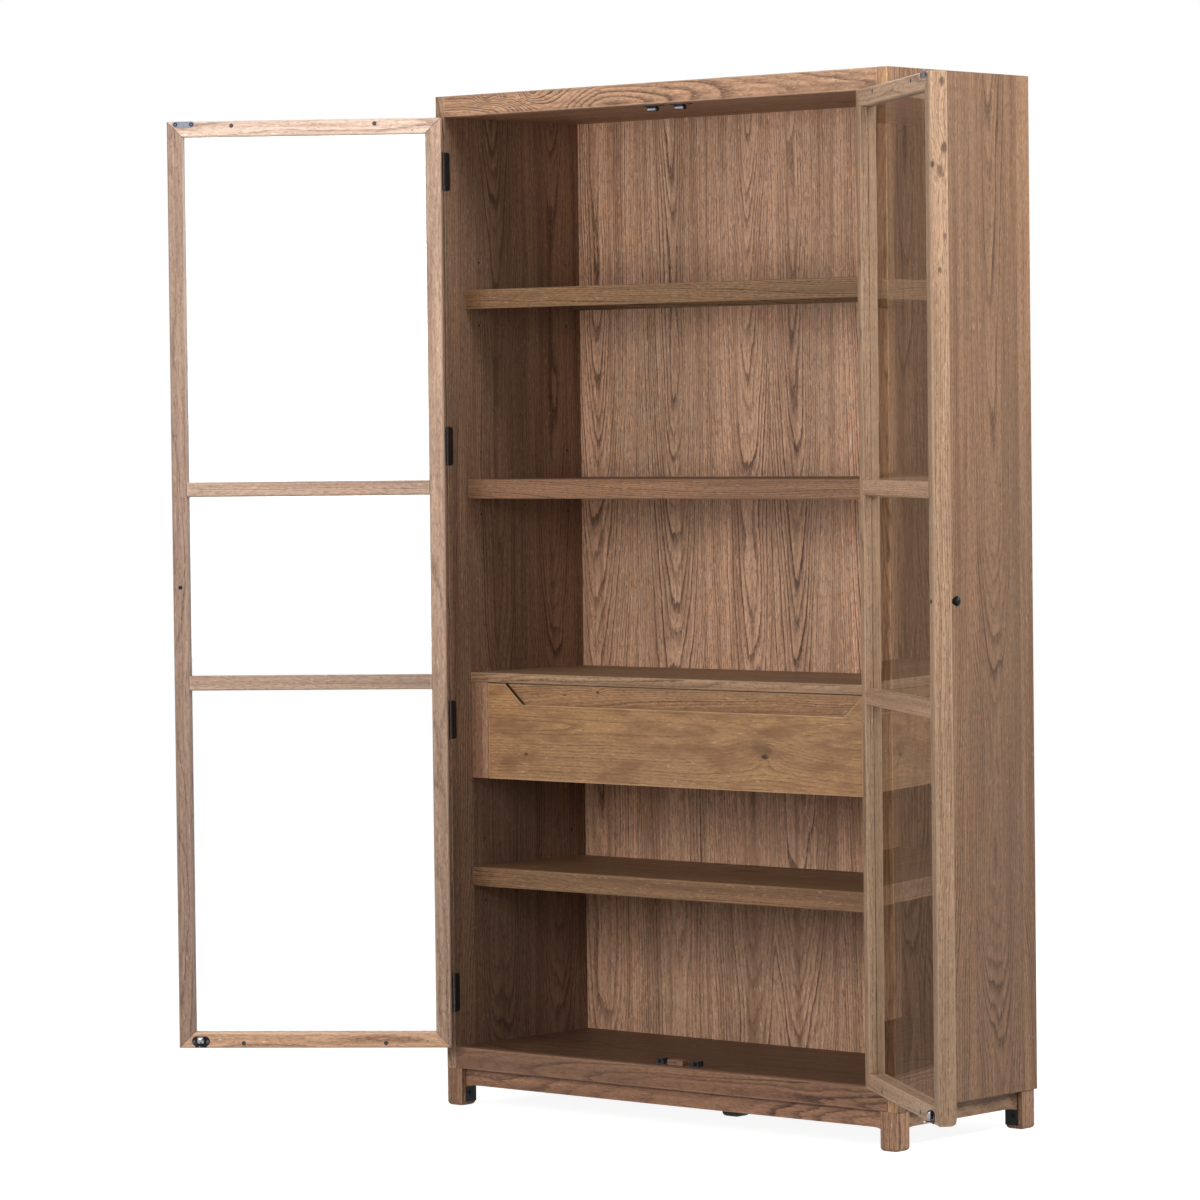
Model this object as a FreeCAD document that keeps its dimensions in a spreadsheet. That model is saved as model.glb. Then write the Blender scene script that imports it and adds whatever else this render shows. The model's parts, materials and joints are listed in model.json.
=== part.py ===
import FreeCAD, Part
import math
import os
import Sketcher
from types import SimpleNamespace

# Two-door glazed oak bookcase: case on legs, three loose shelves, a drawer unit, two mitred glass doors.
# Millimetres. +X right, the front at -Y, +Z up. The origin is on the floor under the centre foot.
# The doors stand open at rest: each is modelled shut about its own hinge axis and then turned.

SIZES = {
    # Case
    "case_width": 1200,
    "case_depth": 450,
    "case_height": 2100,
    "clear_height": 78,       # floor to the underside of the case
    "panel_thick": 25,        # side panels
    "post_depth": 10,         # solid lipping on the front of each side panel
    "rail_depth": 20,         # front rails, front to back
    "top_thick": 43,
    "base_thick": 45,
    "case_arris": 1.5,
    "back_thick": 12,
    "back_inset": 25,         # back edge of the sides to the back panel
    "groove_depth": 6,        # back panel's groove
    "fit_play": 0.3,          # loose fit of one piece in or on another
    # Legs and aprons
    "leg_width": 40,
    "leg_side_inset": 2,
    "leg_back_inset": 8,
    "leg_rounding": 8,
    "apron_height": 34,
    "apron_thick": 18,
    "apron_recess": 11,
    "apron_dip": 4.8,         # how far an apron's lower edge drops beside a leg
    "apron_sweep": 27,        # length of that drop
    "bracket_thick": 1.5,
    "bracket_lift": 8,        # floor to the leg brackets
    "bolt_head_width": 9,
    "bolt_head_height": 2.4,
    # Shelves
    "upper_shelf_top": 1700,
    "middle_shelf_top": 1305,
    "lower_shelf_top": 495,
    "shelf_front": 58,        # behind the front of the case
    "shelf_thick": 20,
    "shelf_lip": 20,          # front and back edgings, front to back
    "shelf_lip_height": 40,
    "shelf_back_gap": 3,
    "shelf_end_gap": 1.5,
    "shelf_arris": 2,
    "pin_diameter": 7,
    "pin_length": 20,
    "pin_stand": 9,           # how far a pin stands out of the panel
    "pin_front_inset": 42,    # front edge of a shelf to its front pins
    "pin_back_inset": 40,
    "pin_drop": 8.5,          # shelf top to pin centre
    "hole_pitch": 65,
    "hole_deepening": 0.5,    # room behind a pin in its hole
    # Drawer unit
    "unit_top": 902,
    "unit_height": 220,
    "unit_board": 20,
    "unit_front": 60,         # behind the front of the case
    "unit_end_gap": 0.5,
    "unit_side_thick": 18,
    "unit_post_width": 46.5,
    "unit_post_thick": 20,
    "unit_base_thick": 12,
    "unit_base_raise": 2,
    "drawer_gap": 2,
    "face_thick": 10,
    "backing_thick": 12,
    "grip_margin": 48,        # end of the drawer front to the cut-out
    "grip_depth": 42.5,
    "grip_slope": 49,         # run of the cut-out's slanted ends
    "drawer_side_thick": 12,
    "drawer_side_height": 140,
    "drawer_back_gap": 31,    # drawer to back panel, when shut
    "drawer_lift": 30,        # underside of the front to the box
    "drawer_base_thick": 6,
    "drawer_base_raise": 6,   # lower edge of the box to its bottom
    # Runners: three nested channels a side
    "runner_thick": 12.7,
    "runner_height": 45,
    "runner_lift": 78,        # underside of the front to the runner
    "channel_wall": 1.2,
    "slide_gap": 0.3,
    # Doors
    "hinge_gap": 2,
    "centre_gap": 3,
    "door_gap": 3,            # above and below a door
    "door_thick": 35,
    "frame_width": 32,
    "mid_rail_height": 30,
    "door_arris": 2.5,
    "door_rounding": 12,      # lower front edge of a door
    "mitre_relief": 0.25,
    "glass_thick": 3,
    "glass_set": 16,          # door front to the glass
    "glass_groove": 8,
    "left_open_angle": 143.6,
    "right_open_angle": 142.4,
    # Hinges
    "axis_out": 4.5,          # hinge axis in front of the doors
    "hinge_inset": 110,       # door end to the nearest hinge's middle
    "leaf_height": 80,
    "leaf_reach": 20,
    "leaf_thick": 1.5,
    "leaf_corner": 5,
    "barrel_diameter": 8,
    "barrel_room": 0.4,       # leaf plate to the other leaf's knuckle
    "knuckle_gap": 0.3,
    "hinge_pin_diameter": 3.6,
    "pin_running_clearance": 0.05,
    # Door furniture
    "knob_across": 15.5,      # free edge of a door to the knob's centre
    "knob_z": 1087,
    "knob_diameter": 20,
    "knob_length": 20,
    "knob_neck": 9,
    "knob_rim": 3,
    "knob_crown": 3,
    "knob_crown_flat": 11,
    "knob_screw": 4,
    "knob_screw_head": 8,
    "knob_screw_head_height": 2.2,
    "knob_screw_depth": 8,
    "catch_across": 35,       # free edge of a door to the strike plate's middle
    "strike_width": 46,
    "strike_height": 12.5,
    "strike_thick": 1.5,
    "tongue_across": 45.5,
    "tongue_plate_width": 37.5,
    "tongue_plate_height": 24,
    "tongue_plate_raise": 0.5,
    "tongue_block_width": 14,
    "tongue_block_height": 12.5,
    "tongue_block_depth": 8,
    "tongue_length": 16,
    "tongue_neck": 3,
    "tongue_head": 5.4,
    "tongue_height": 4,
    "tongue_raise": 1,
    "cap_diameter": 9,
    "cap_proud": 0.8,
    "cap_hinge_side": 137,
    "cap_free_side": 135.5,
    "cap_inset": 10,
    # Catches in the case
    "magnet_width": 26,
    "magnet_height": 10.5,
    "magnet_depth": 13,
    "flange_width": 54,
    "flange_thick": 1.5,
    "pole_width": 24,
    "pole_height": 8,
    "pole_proud": 0.8,
    "pole_depth": 8,
    "roller_diameter": 6,
    "roller_spacing": 13,
    "roller_bracket_width": 26,
    "roller_bracket_depth": 17,
    "roller_bracket_height": 11,
    "roller_bracket_wall": 1.2,
    "stop_width": 40,
    "stop_height": 10,
    "stop_depth": 18,
}
PIN_LEVELS = (-1, 0, 1)       # holes above and below each shelf pin, in hole pitches
KNUCKLES = 6
HINGES = 4                    # on each door
OVERRUN = 5                   # how far a cutter runs past what it cuts
SIDES = 10                    # flats on a small round piece and its hole, which keeps the model light
FLAT = math.cos(math.pi / SIDES)    # a flat's distance from the centre, for a corner's distance of 1
CORNER_STEPS = 3              # flats round a rounded corner of a leaf

LEFT = -1
RIGHT = 1
SIDE_NAMES = {LEFT: "left", RIGHT: "right"}


class Size:
    """A length or an angle, with the sheet expression that gives it."""

    def __init__(self, value, text):
        self.value = value
        self.text = text

    def __neg__(self):
        return Size(-self.value, f"(0 - {self.text})")

    def __add__(self, other):
        other = as_size(other)
        return Size(self.value + other.value, f"({self.text} + {other.text})")

    def __sub__(self, other):
        other = as_size(other)
        return Size(self.value - other.value, f"({self.text} - {other.text})")

    def __mul__(self, other):
        other = as_size(other)
        return Size(self.value * other.value, f"({self.text} * {other.text})")

    def __truediv__(self, other):
        other = as_size(other)
        return Size(self.value / other.value, f"({self.text} / {other.text})")

    def __radd__(self, other):
        return as_size(other) + self

    def __rsub__(self, other):
        return as_size(other) - self

    def __rmul__(self, other):
        return as_size(other) * self


def as_size(number):
    """A plain number as a Size."""
    return number if isinstance(number, Size) else Size(number, f"({number})")


def fill_sheet(doc):
    """The driving dimensions in a spreadsheet, and a name for each of them here."""
    sheet = doc.addObject("Spreadsheet::Sheet", "Sizes")
    for row, (name, value) in enumerate(SIZES.items(), start=1):
        sheet.set(f"A{row}", name)
        sheet.set(f"B{row}", str(value))
        sheet.setAlias(f"B{row}", name)
    doc.recompute()
    return SimpleNamespace(**{name: Size(value, f"Sizes.{name}") for name, value in SIZES.items()})


doc = FreeCAD.newDocument("Bookcase")
s = fill_sheet(doc)
nodes = {}

# Planes that several pieces share
half_width = s.case_width / 2
inner_x = half_width - s.panel_thick
front_y = -s.case_depth / 2
back_y = s.case_depth / 2
rail_back_y = front_y + s.rail_depth
ceiling_z = s.case_height - s.top_thick
floor_z = s.clear_height + s.base_thick
back_panel_y = back_y - s.back_inset - s.back_thick
leg_outer_x = half_width - s.leg_side_inset
leg_inner_x = leg_outer_x - s.leg_width
rear_leg_back_y = back_y - s.leg_back_inset
apron_z = s.clear_height - s.apron_height
shelf_front_y = front_y + s.shelf_front
shelf_back_y = back_panel_y - s.shelf_back_gap
pin_rows = (shelf_front_y + s.pin_front_inset, shelf_back_y - s.pin_back_inset)
unit_bottom = s.unit_top - s.unit_height
unit_ceiling = s.unit_top - s.unit_board
unit_y = front_y + s.unit_front
unit_x = inner_x - s.unit_end_gap
drawer_space_x = unit_x - s.unit_post_width
front_back_y = unit_y + s.face_thick + s.backing_thick
drawer_x = drawer_space_x - s.runner_thick
drawer_end_y = back_panel_y - s.drawer_back_gap
box_bottom = unit_bottom + s.drawer_lift
runner_z = unit_bottom + s.runner_lift
runner_y = front_back_y + s.fit_play
runner_end_y = drawer_end_y + s.fit_play
door_width = inner_x - s.hinge_gap - s.centre_gap / 2
door_bottom = floor_z + s.door_gap
door_top = ceiling_z - s.door_gap
shut_back_y = front_y + s.door_thick
axis_x = inner_x - s.hinge_gap / 2
axis_y = front_y - s.axis_out
lip_top = {"upper": s.upper_shelf_top, "middle": s.middle_shelf_top, "lower": s.lower_shelf_top}


# ---- Building blocks ----

def bind(item, prop, size):
    """Ties one property of an object to the sheet."""
    item.setExpression(prop, as_size(size).text)


def put(item, x, y, z):
    """Ties an object's place to the sheet."""
    bind(item, "Placement.Base.x", x)
    bind(item, "Placement.Base.y", y)
    bind(item, "Placement.Base.z", z)


def both(sign, near, far):
    """The span from near to far on the right, or its mirror image on the left."""
    return (near, far) if sign == RIGHT else (-far, -near)


def box(name, x, y, z):
    """A block between two values along each axis."""
    block = doc.addObject("Part::Box", name)
    for prop, (low, high) in zip(("Length", "Width", "Height"), (x, y, z)):
        bind(block, prop, high - low)
    put(block, x[0], y[0], z[0])
    return block


TURNS = {
    "X": FreeCAD.Rotation(FreeCAD.Vector(0, 1, 0), 90),
    "Y": FreeCAD.Rotation(FreeCAD.Vector(1, 0, 0), -90),
    "Z": FreeCAD.Rotation(),
}


def rod(name, axis, start, length, diameter):
    """A small round piece, with SIDES flats, from a start point along +X, +Y or +Z."""
    prism = doc.addObject("Part::Prism", name)
    prism.Placement = FreeCAD.Placement(FreeCAD.Vector(), TURNS[axis])
    prism.Polygon = SIDES
    bind(prism, "Circumradius", diameter / 2)
    bind(prism, "Height", length)
    put(prism, *start)
    return prism


def together(name, pieces):
    """Several pieces in one object, each still its own solid."""
    compound = doc.addObject("Part::Compound", name)
    compound.Links = pieces
    return compound


def cut(name, base, tools):
    """A piece with several cutters taken away."""
    result = doc.addObject("Part::Cut", name)
    result.Base = base
    result.Tool = together(name + "_cutters", tools)
    return result


def fuse(name, pieces):
    """Several overlapping or touching shapes as one solid."""
    result = doc.addObject("Part::MultiFuse", name)
    result.Shapes = pieces
    result.Refine = True
    return result


def copies(name, original, places):
    """Links to one object. A place is (x, y, z) and True for a half turn about Y."""
    links = []
    for index, (x, y, z, flipped) in enumerate(places):
        link = doc.addObject("App::Link", f"{name}_{index}")
        link.LinkedObject = original
        turn = FreeCAD.Rotation(FreeCAD.Vector(0, 1, 0), 180 if flipped else 0)
        link.Placement = FreeCAD.Placement(FreeCAD.Vector(), turn)
        put(link, x, y, z)
        links.append(link)
    return links


def keep(label, piece):
    """Marks an object as a finished sub-part, under its own name."""
    piece.Label = label
    nodes[label] = piece
    return piece


def keep_group(label, pieces):
    """A finished sub-part of several like pieces."""
    return keep(label, together(label, pieces))


# ---- Sketches and features ----

NORMALS = {"XY": 1, "XZ": -1, "YZ": 1}    # which way each origin plane looks along its axis


def new_sketch(body, plane, level, shift=None):
    """A sketch on one of the body's origin planes, at a level along that plane's axis."""
    sketch = body.newObject("Sketcher::SketchObject", f"{body.Name}_sketch")
    support = [item for item in body.Origin.OriginFeatures if item.Role == f"{plane}_Plane"][0]
    sketch.AttachmentSupport = [(support, "")]
    sketch.MapMode = "FlatFace"
    bind(sketch, "AttachmentOffset.Base.z", level * NORMALS[plane])
    if shift is not None:
        bind(sketch, "AttachmentOffset.Base.x", shift)
    return sketch


def arc_between(start, end, radius, turn):
    """The shorter arc from start to end: turn is 1 anticlockwise, -1 clockwise."""
    chord = end - start
    rise = math.sqrt(max(radius ** 2 - (chord.Length / 2) ** 2, 0))
    left = FreeCAD.Vector(-chord.y, chord.x, 0).normalize()
    centre = (start + end) / 2 + left * rise * turn
    angles = [math.atan2(p.y - centre.y, p.x - centre.x) for p in (start, end)]
    if turn < 0:
        angles.reverse()
    circle = Part.Circle(centre, FreeCAD.Vector(0, 0, 1), radius)
    return Part.ArcOfCircle(circle, *angles)


def draw(sketch, outline):
    """A closed outline. A point is (x, y), or (x, y, radius, turn) where an arc leads to the next."""
    first = sketch.GeometryCount
    count = len(outline)
    ends = []
    for index, point in enumerate(outline):
        after = outline[(index + 1) % count]
        start = FreeCAD.Vector(point[0].value, point[1].value, 0)
        end = FreeCAD.Vector(after[0].value, after[1].value, 0)
        turn = point[3] if len(point) > 2 else 1
        if len(point) > 2:
            sketch.addGeometry(arc_between(start, end, point[2].value, turn))
        else:
            sketch.addGeometry(Part.LineSegment(start, end))
        ends.append((1, 2) if turn > 0 else (2, 1))
    for index, point in enumerate(outline):
        after = (index + 1) % count
        line = first + index
        sketch.addConstraint(Sketcher.Constraint("Coincident", line, ends[index][1],
                                                 first + after, ends[after][0]))
        for kind, size in zip(("DistanceX", "DistanceY"), point):
            number = sketch.addConstraint(Sketcher.Constraint(kind, -1, 1, line, ends[index][0],
                                                              size.value))
            bind(sketch, f"Constraints[{number}]", size)
        if len(point) > 2:
            number = sketch.addConstraint(Sketcher.Constraint("Radius", line, point[2].value))
            bind(sketch, f"Constraints[{number}]", point[2])


def arc_points(centre, radius, start, end, steps):
    """Points on an arc about a centre, by angle in degrees."""
    angles = [math.radians(start + (end - start) * step / steps) for step in range(steps + 1)]
    return [(centre[0] + radius * math.cos(angle), centre[1] + radius * math.sin(angle)) for angle in angles]


def ring(centre, radius):
    """A small circle as SIDES flats."""
    return arc_points(centre, radius, 0, 360, SIDES)[:-1]


def oval(centre, width, height):
    """A plate's outline with round ends."""
    radius = height / 2
    straight = width / 2 - radius
    return [*arc_points((centre[0] + straight, centre[1]), radius, -90, 90, SIDES // 2),
            *arc_points((centre[0] - straight, centre[1]), radius, 90, 270, SIDES // 2)]


def points(*pairs):
    """Outline points with every coordinate a Size."""
    return [(as_size(pair[0]), as_size(pair[1]), *pair[2:]) for pair in pairs]


def new_body(name):
    """An empty body."""
    return doc.addObject("PartDesign::Body", name)


def pad(body, plane, outline, low, high):
    """Adds an outline's prism between two levels along the plane's axis."""
    level = low if NORMALS[plane] > 0 else high
    sketch = new_sketch(body, plane, as_size(level))
    draw(sketch, points(*outline))
    feature = body.newObject("PartDesign::Pad", f"{body.Name}_pad")
    feature.Profile = sketch
    bind(feature, "Length", as_size(high) - low)
    return body


def pocket(body, plane, outline, low, high):
    """Takes an outline's prism away between two levels along the plane's axis."""
    level = high if NORMALS[plane] > 0 else low
    sketch = new_sketch(body, plane, as_size(level))
    draw(sketch, points(*outline))
    feature = body.newObject("PartDesign::Pocket", f"{body.Name}_pocket")
    feature.Profile = sketch
    bind(feature, "Length", as_size(high) - low)
    return body


def revolve(body, centre, outline):
    """Turns an outline of (radius, y) about an axis parallel to Y through (x, z)."""
    x, z = centre
    sketch = new_sketch(body, "XY", as_size(z), x)
    draw(sketch, points(*outline))
    feature = body.newObject("PartDesign::Revolution", f"{body.Name}_turn")
    feature.Profile = sketch
    feature.ReferenceAxis = (sketch, ["V_Axis"])
    feature.Angle = 360
    return body


def round_edges(body, radius, chosen):
    """Rounds the edges that the given test picks."""
    doc.recompute()
    solid = body.Tip
    names = [f"Edge{number}" for number, edge in enumerate(solid.Shape.Edges, start=1) if chosen(edge)]
    feature = body.newObject("PartDesign::Fillet", f"{body.Name}_rounding")
    feature.Base = (solid, names)
    bind(feature, "Radius", radius)
    return body


def rectangle(x, y):
    """The four corners between two values each way."""
    return [(x[0], y[0]), (x[1], y[0]), (x[1], y[1]), (x[0], y[1])]


def eased(x, y, arris, corners):
    """A rectangle with some corners taken off. Corners count from the low one, anticlockwise."""
    outline = []
    (x0, x1), (y0, y1) = x, y
    plan = [((x0, y0 + arris), (x0 + arris, y0), (x0, y0)),
            ((x1 - arris, y0), (x1, y0 + arris), (x1, y0)),
            ((x1, y1 - arris), (x1 - arris, y1), (x1, y1)),
            ((x0 + arris, y1), (x0, y1 - arris), (x0, y1))]
    for index, (before, after, corner) in enumerate(plan):
        outline += [before, after] if index in corners else [corner]
    return outline


# ---- Hinges ----

def leaf_plate(name):
    """A leaf's plate beside the axis, its far corners rounded: also the shape of its mortise."""
    half = s.leaf_height / 2
    radius = s.leaf_corner
    far = s.leaf_reach - radius
    outline = [(0, -half), *arc_points((far, radius - half), radius, -90, 0, CORNER_STEPS),
               *arc_points((far, half - radius), radius, 0, 90, CORNER_STEPS), (0, half)]
    return pad(new_body(name), "YZ", outline, s.hinge_gap / 2, s.hinge_gap / 2 + s.leaf_thick)


def hinge_leaf():
    """One leaf about its axis: plate and every other knuckle, bored for the pin."""
    leaf = leaf_plate("hinge_leaf")
    half = s.leaf_height / 2
    centre = (0, 0)
    pad(leaf, "XY", ring(centre, s.barrel_diameter / 2), -half, half)
    step = s.leaf_height / KNUCKLES
    room = (s.barrel_diameter / 2 + s.barrel_room) / FLAT
    for knuckle in range(0, KNUCKLES, 2):
        low = -half + step * knuckle - s.knuckle_gap / 2
        high = -half + step * (knuckle + 1) + s.knuckle_gap / 2
        pocket(leaf, "XY", ring(centre, room), low, high)
    bore = (s.hinge_pin_diameter / 2 + s.pin_running_clearance) / FLAT
    pocket(leaf, "XY", ring(centre, bore), -half - OVERRUN, half + OVERRUN)
    return leaf


def hinge_heights():
    """Middle of each hinge, evenly spaced between the first and last."""
    low = door_bottom + s.hinge_inset
    step = (door_top - s.hinge_inset - low) / (HINGES - 1)
    return [low + step * number for number in range(HINGES)]


def case_hinge_places(sign):
    """Where the case's leaves sit on one side. The left ones are turned over."""
    return [(sign * axis_x, axis_y, z, sign == LEFT) for z in hinge_heights()]


def case_hinges(leaf):
    """The leaves let into the case and the pins that they hold."""
    leaves = []
    pins = []
    for sign in (LEFT, RIGHT):
        places = case_hinge_places(sign)
        leaves += copies(f"{SIDE_NAMES[sign]}_case_leaf", leaf, places)
        for number, (x, y, z, _) in enumerate(places):
            pin = doc.addObject("Part::Cylinder", f"{SIDE_NAMES[sign]}_hinge_pin_{number}")
            bind(pin, "Radius", s.hinge_pin_diameter / 2)
            bind(pin, "Height", s.leaf_height)
            put(pin, x, y, z - s.leaf_height / 2)
            pins.append(pin)
    keep_group("hinge_case_leaves", leaves)
    keep_group("hinge_pins", pins)


# ---- Case ----

def pin_places(top):
    """Front and back pin centres for a shelf top, as (y, z)."""
    return [(y, top - s.pin_drop) for y in pin_rows]


def shelf_holes(sign):
    """Blind holes for shelf pins in one side panel: three at each pin."""
    depth = s.pin_length - s.pin_stand + s.hole_deepening
    low = both(sign, inner_x, inner_x + depth)[0]
    holes = []
    for shelf, top in lip_top.items():
        for y, z in pin_places(top):
            for level in PIN_LEVELS:
                name = f"{SIDE_NAMES[sign]}_{shelf}_hole"
                holes.append(rod(name, "X", (low, y, z + s.hole_pitch * level), depth,
                                 s.pin_diameter + 2 * s.pin_running_clearance))
    return holes


def side_panel(sign, mortise):
    """A side panel with its groove, shelf holes and hinge mortises."""
    name = f"side_panel_{SIDE_NAMES[sign]}"
    board = box(name + "_board", both(sign, inner_x, half_width), (front_y + s.post_depth, back_y),
                (s.clear_height, s.case_height))
    groove = box(name + "_groove", both(sign, inner_x, inner_x + s.groove_depth),
                 (back_panel_y, back_panel_y + s.back_thick),
                 (floor_z - s.groove_depth, ceiling_z + s.groove_depth))
    mortises = copies(name + "_mortise", mortise, case_hinge_places(sign))
    keep(name, cut(name, board, [groove, *shelf_holes(sign), *mortises]))


def front_post(sign, mortise):
    """The solid lipping on a side panel's front edge."""
    name = f"front_post_{SIDE_NAMES[sign]}"
    post = new_body(name + "_blank")
    outline = eased(both(sign, inner_x, half_width), (front_y, front_y + s.post_depth),
                    s.case_arris, (0, 1))
    pad(post, "XY", outline, s.clear_height, s.case_height)
    mortises = copies(name + "_mortise", mortise, case_hinge_places(sign))
    keep(name, cut(name, post, mortises))


def top_and_base():
    """The top and base boards, grooved for the back, with a rail on the front of each."""
    x = (-inner_x, inner_x)
    groove_y = (back_panel_y, back_panel_y + s.back_thick)
    levels = {"top": (ceiling_z, s.case_height), "base": (s.clear_height, floor_z)}
    grooves = {"top": (ceiling_z, ceiling_z + s.groove_depth), "base": (floor_z - s.groove_depth, floor_z)}
    for name, z in levels.items():
        board = box(name + "_blank", x, (rail_back_y, back_y), z)
        groove = box(name + "_groove", x, groove_y, grooves[name])
        keep(f"{name}_board", cut(f"{name}_board", board, [groove]))
        rail = new_body(f"{name}_rail")
        pad(rail, "YZ", eased((front_y, rail_back_y), z, s.case_arris, (0, 3)), -inner_x, inner_x)
        keep(f"{name}_rail", rail)


def back_panel():
    """The back, loose in its grooves all round."""
    reach = s.groove_depth - s.fit_play
    keep("back_panel", box("back_panel", (-inner_x - reach, inner_x + reach),
                           (back_panel_y + s.fit_play / 2, back_panel_y + s.back_thick - s.fit_play / 2),
                           (floor_z - reach, ceiling_z + reach)))


# ---- Legs and aprons ----

def foot(name, x, y, top):
    """A square foot with its lower edges rounded."""
    body = new_body(name)
    pad(body, "XY", rectangle(x, y), 0, top)

    def on_floor(edge):
        return max(vertex.Z for vertex in edge.Vertexes) < s.leg_rounding.value / 2

    return round_edges(body, s.leg_rounding, on_floor)


LEG_SPANS = {
    "front": (front_y, front_y + s.leg_width),
    "back": (rear_leg_back_y - s.leg_width, rear_leg_back_y),
}


def legs():
    """Four legs under the case's corners and a foot under its middle."""
    pieces = []
    for end, span in LEG_SPANS.items():
        for sign in (LEFT, RIGHT):
            pieces.append(foot(f"{end}_{SIDE_NAMES[sign]}_leg", both(sign, leg_inner_x, leg_outer_x), span,
                               s.clear_height))
    keep_group("legs", pieces)
    half = s.leg_width / 2
    keep("centre_foot", foot("centre_foot", (-half, half), (-half, half), apron_z))


def leg_brackets():
    """A steel angle round each leg's inner edge, and the two bolts that hold it."""
    angles = []
    bolts = []
    for end, span in LEG_SPANS.items():
        # The angle grows from the leg's inner edge at (x, y) into the case, in direction (-sign, inward).
        inward = 1 if end == "front" else -1
        y = span[1] if end == "front" else span[0]
        arm = s.leg_width - s.apron_recess
        for sign in (LEFT, RIGHT):
            x = sign * leg_inner_x
            outer_x = x - sign * s.bracket_thick
            outer_y = y + inward * s.bracket_thick
            far_x = x + sign * arm
            far_y = y - inward * arm
            angle = new_body(f"{end}_{SIDE_NAMES[sign]}_bracket")
            outline = [(x, far_y), (outer_x, far_y), (outer_x, outer_y), (far_x, outer_y), (far_x, y), (x, y)]
            pad(angle, "XY", outline, s.bracket_lift, s.clear_height)
            angles.append(angle)
            middle_z = (s.bracket_lift + apron_z) / 2
            side_bolt_y = y - inward * arm / 2
            low = outer_x if sign == LEFT else outer_x - s.bolt_head_height
            bolts.append(rod(f"{end}_{SIDE_NAMES[sign]}_bolt_x", "X", (low, side_bolt_y, middle_z),
                             s.bolt_head_height, s.bolt_head_width))
            low = outer_y if inward > 0 else outer_y - s.bolt_head_height
            bolts.append(rod(f"{end}_{SIDE_NAMES[sign]}_bolt_y", "Y", (x + sign * arm / 2, low, middle_z),
                             s.bolt_head_height, s.bolt_head_width))
    keep_group("leg_brackets", angles)
    keep_group("leg_bolts", bolts)


def swept_edge(start, end):
    """Outline of an apron from start to end, its lower edge swept down at both ends."""
    rise = s.apron_dip
    run = s.apron_sweep
    radius = (run * run + rise * rise) / (2 * rise)
    low = apron_z - rise
    return [(start, s.clear_height), (start, low, radius, -1), (start + run, apron_z),
            (end - run, apron_z, radius, -1), (end, low), (end, s.clear_height)]


def aprons():
    """Four aprons between the leg brackets, and the bearer across the middle."""
    end_x = leg_inner_x - s.bracket_thick
    front_face = front_y + s.apron_recess
    back_face = rear_leg_back_y - s.apron_recess
    depths = {"front": (front_face, front_face + s.apron_thick),
              "back": (back_face - s.apron_thick, back_face)}
    long_aprons = []
    for end, y in depths.items():
        apron = new_body(f"{end}_apron")
        pad(apron, "XZ", swept_edge(-end_x, end_x), *y)
        long_aprons.append(apron)
    keep_group("long_aprons", long_aprons)
    start_y = LEG_SPANS["front"][1] + s.bracket_thick
    end_y = LEG_SPANS["back"][0] - s.bracket_thick
    outer = leg_outer_x - s.apron_recess
    sides = []
    for sign in (LEFT, RIGHT):
        apron = new_body(f"{SIDE_NAMES[sign]}_apron")
        pad(apron, "YZ", swept_edge(start_y, end_y), *both(sign, outer - s.apron_thick, outer))
        sides.append(apron)
    keep_group("side_aprons", sides)
    half = s.leg_width / 2
    keep("centre_bearer", box("centre_bearer", (-half, half), (depths["front"][1], depths["back"][0]),
                              (apron_z, s.clear_height)))


# ---- Shelves ----

def shelf_pins():
    """Four pins for each shelf."""
    pins = []
    for shelf, top in lip_top.items():
        for sign in (LEFT, RIGHT):
            low = both(sign, inner_x - s.pin_stand, inner_x - s.pin_stand + s.pin_length)[0]
            for y, z in pin_places(top):
                pins.append(rod(f"{shelf}_{SIDE_NAMES[sign]}_pin", "X", (low, y, z), s.pin_length,
                                s.pin_diameter))
    keep_group("shelf_pins", pins)


def shelf(name, top):
    """A shelf that drops over its pins: panel, front edging and back edging."""
    end = inner_x - s.shelf_end_gap
    front = shelf_front_y
    back = shelf_back_y
    panel = box(name + "_panel", (-end, end), (front + s.shelf_lip, back - s.shelf_lip),
                (top - s.shelf_thick, top))
    slots = []
    half = s.pin_diameter / 2 + s.fit_play
    for sign in (LEFT, RIGHT):
        x = both(sign, inner_x - s.pin_stand - s.shelf_end_gap, inner_x)
        for y, z in pin_places(top):
            slots.append(box(name + "_slot", x, (y - half, y + half), (top - s.shelf_lip_height, z + half)))
    pieces = [cut(name + "_slotted", panel, slots)]
    z = (top - s.shelf_lip_height, top)
    for edge, y, corners in (("front", (front, front + s.shelf_lip), (0, 3)),
                             ("back", (back - s.shelf_lip, back), (2,))):
        lip = new_body(f"{name}_{edge}_lip")
        pad(lip, "YZ", eased(y, z, s.shelf_arris, corners), -end, end)
        pieces.append(lip)
    keep_group(name, pieces)


# ---- Drawer unit ----

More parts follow.
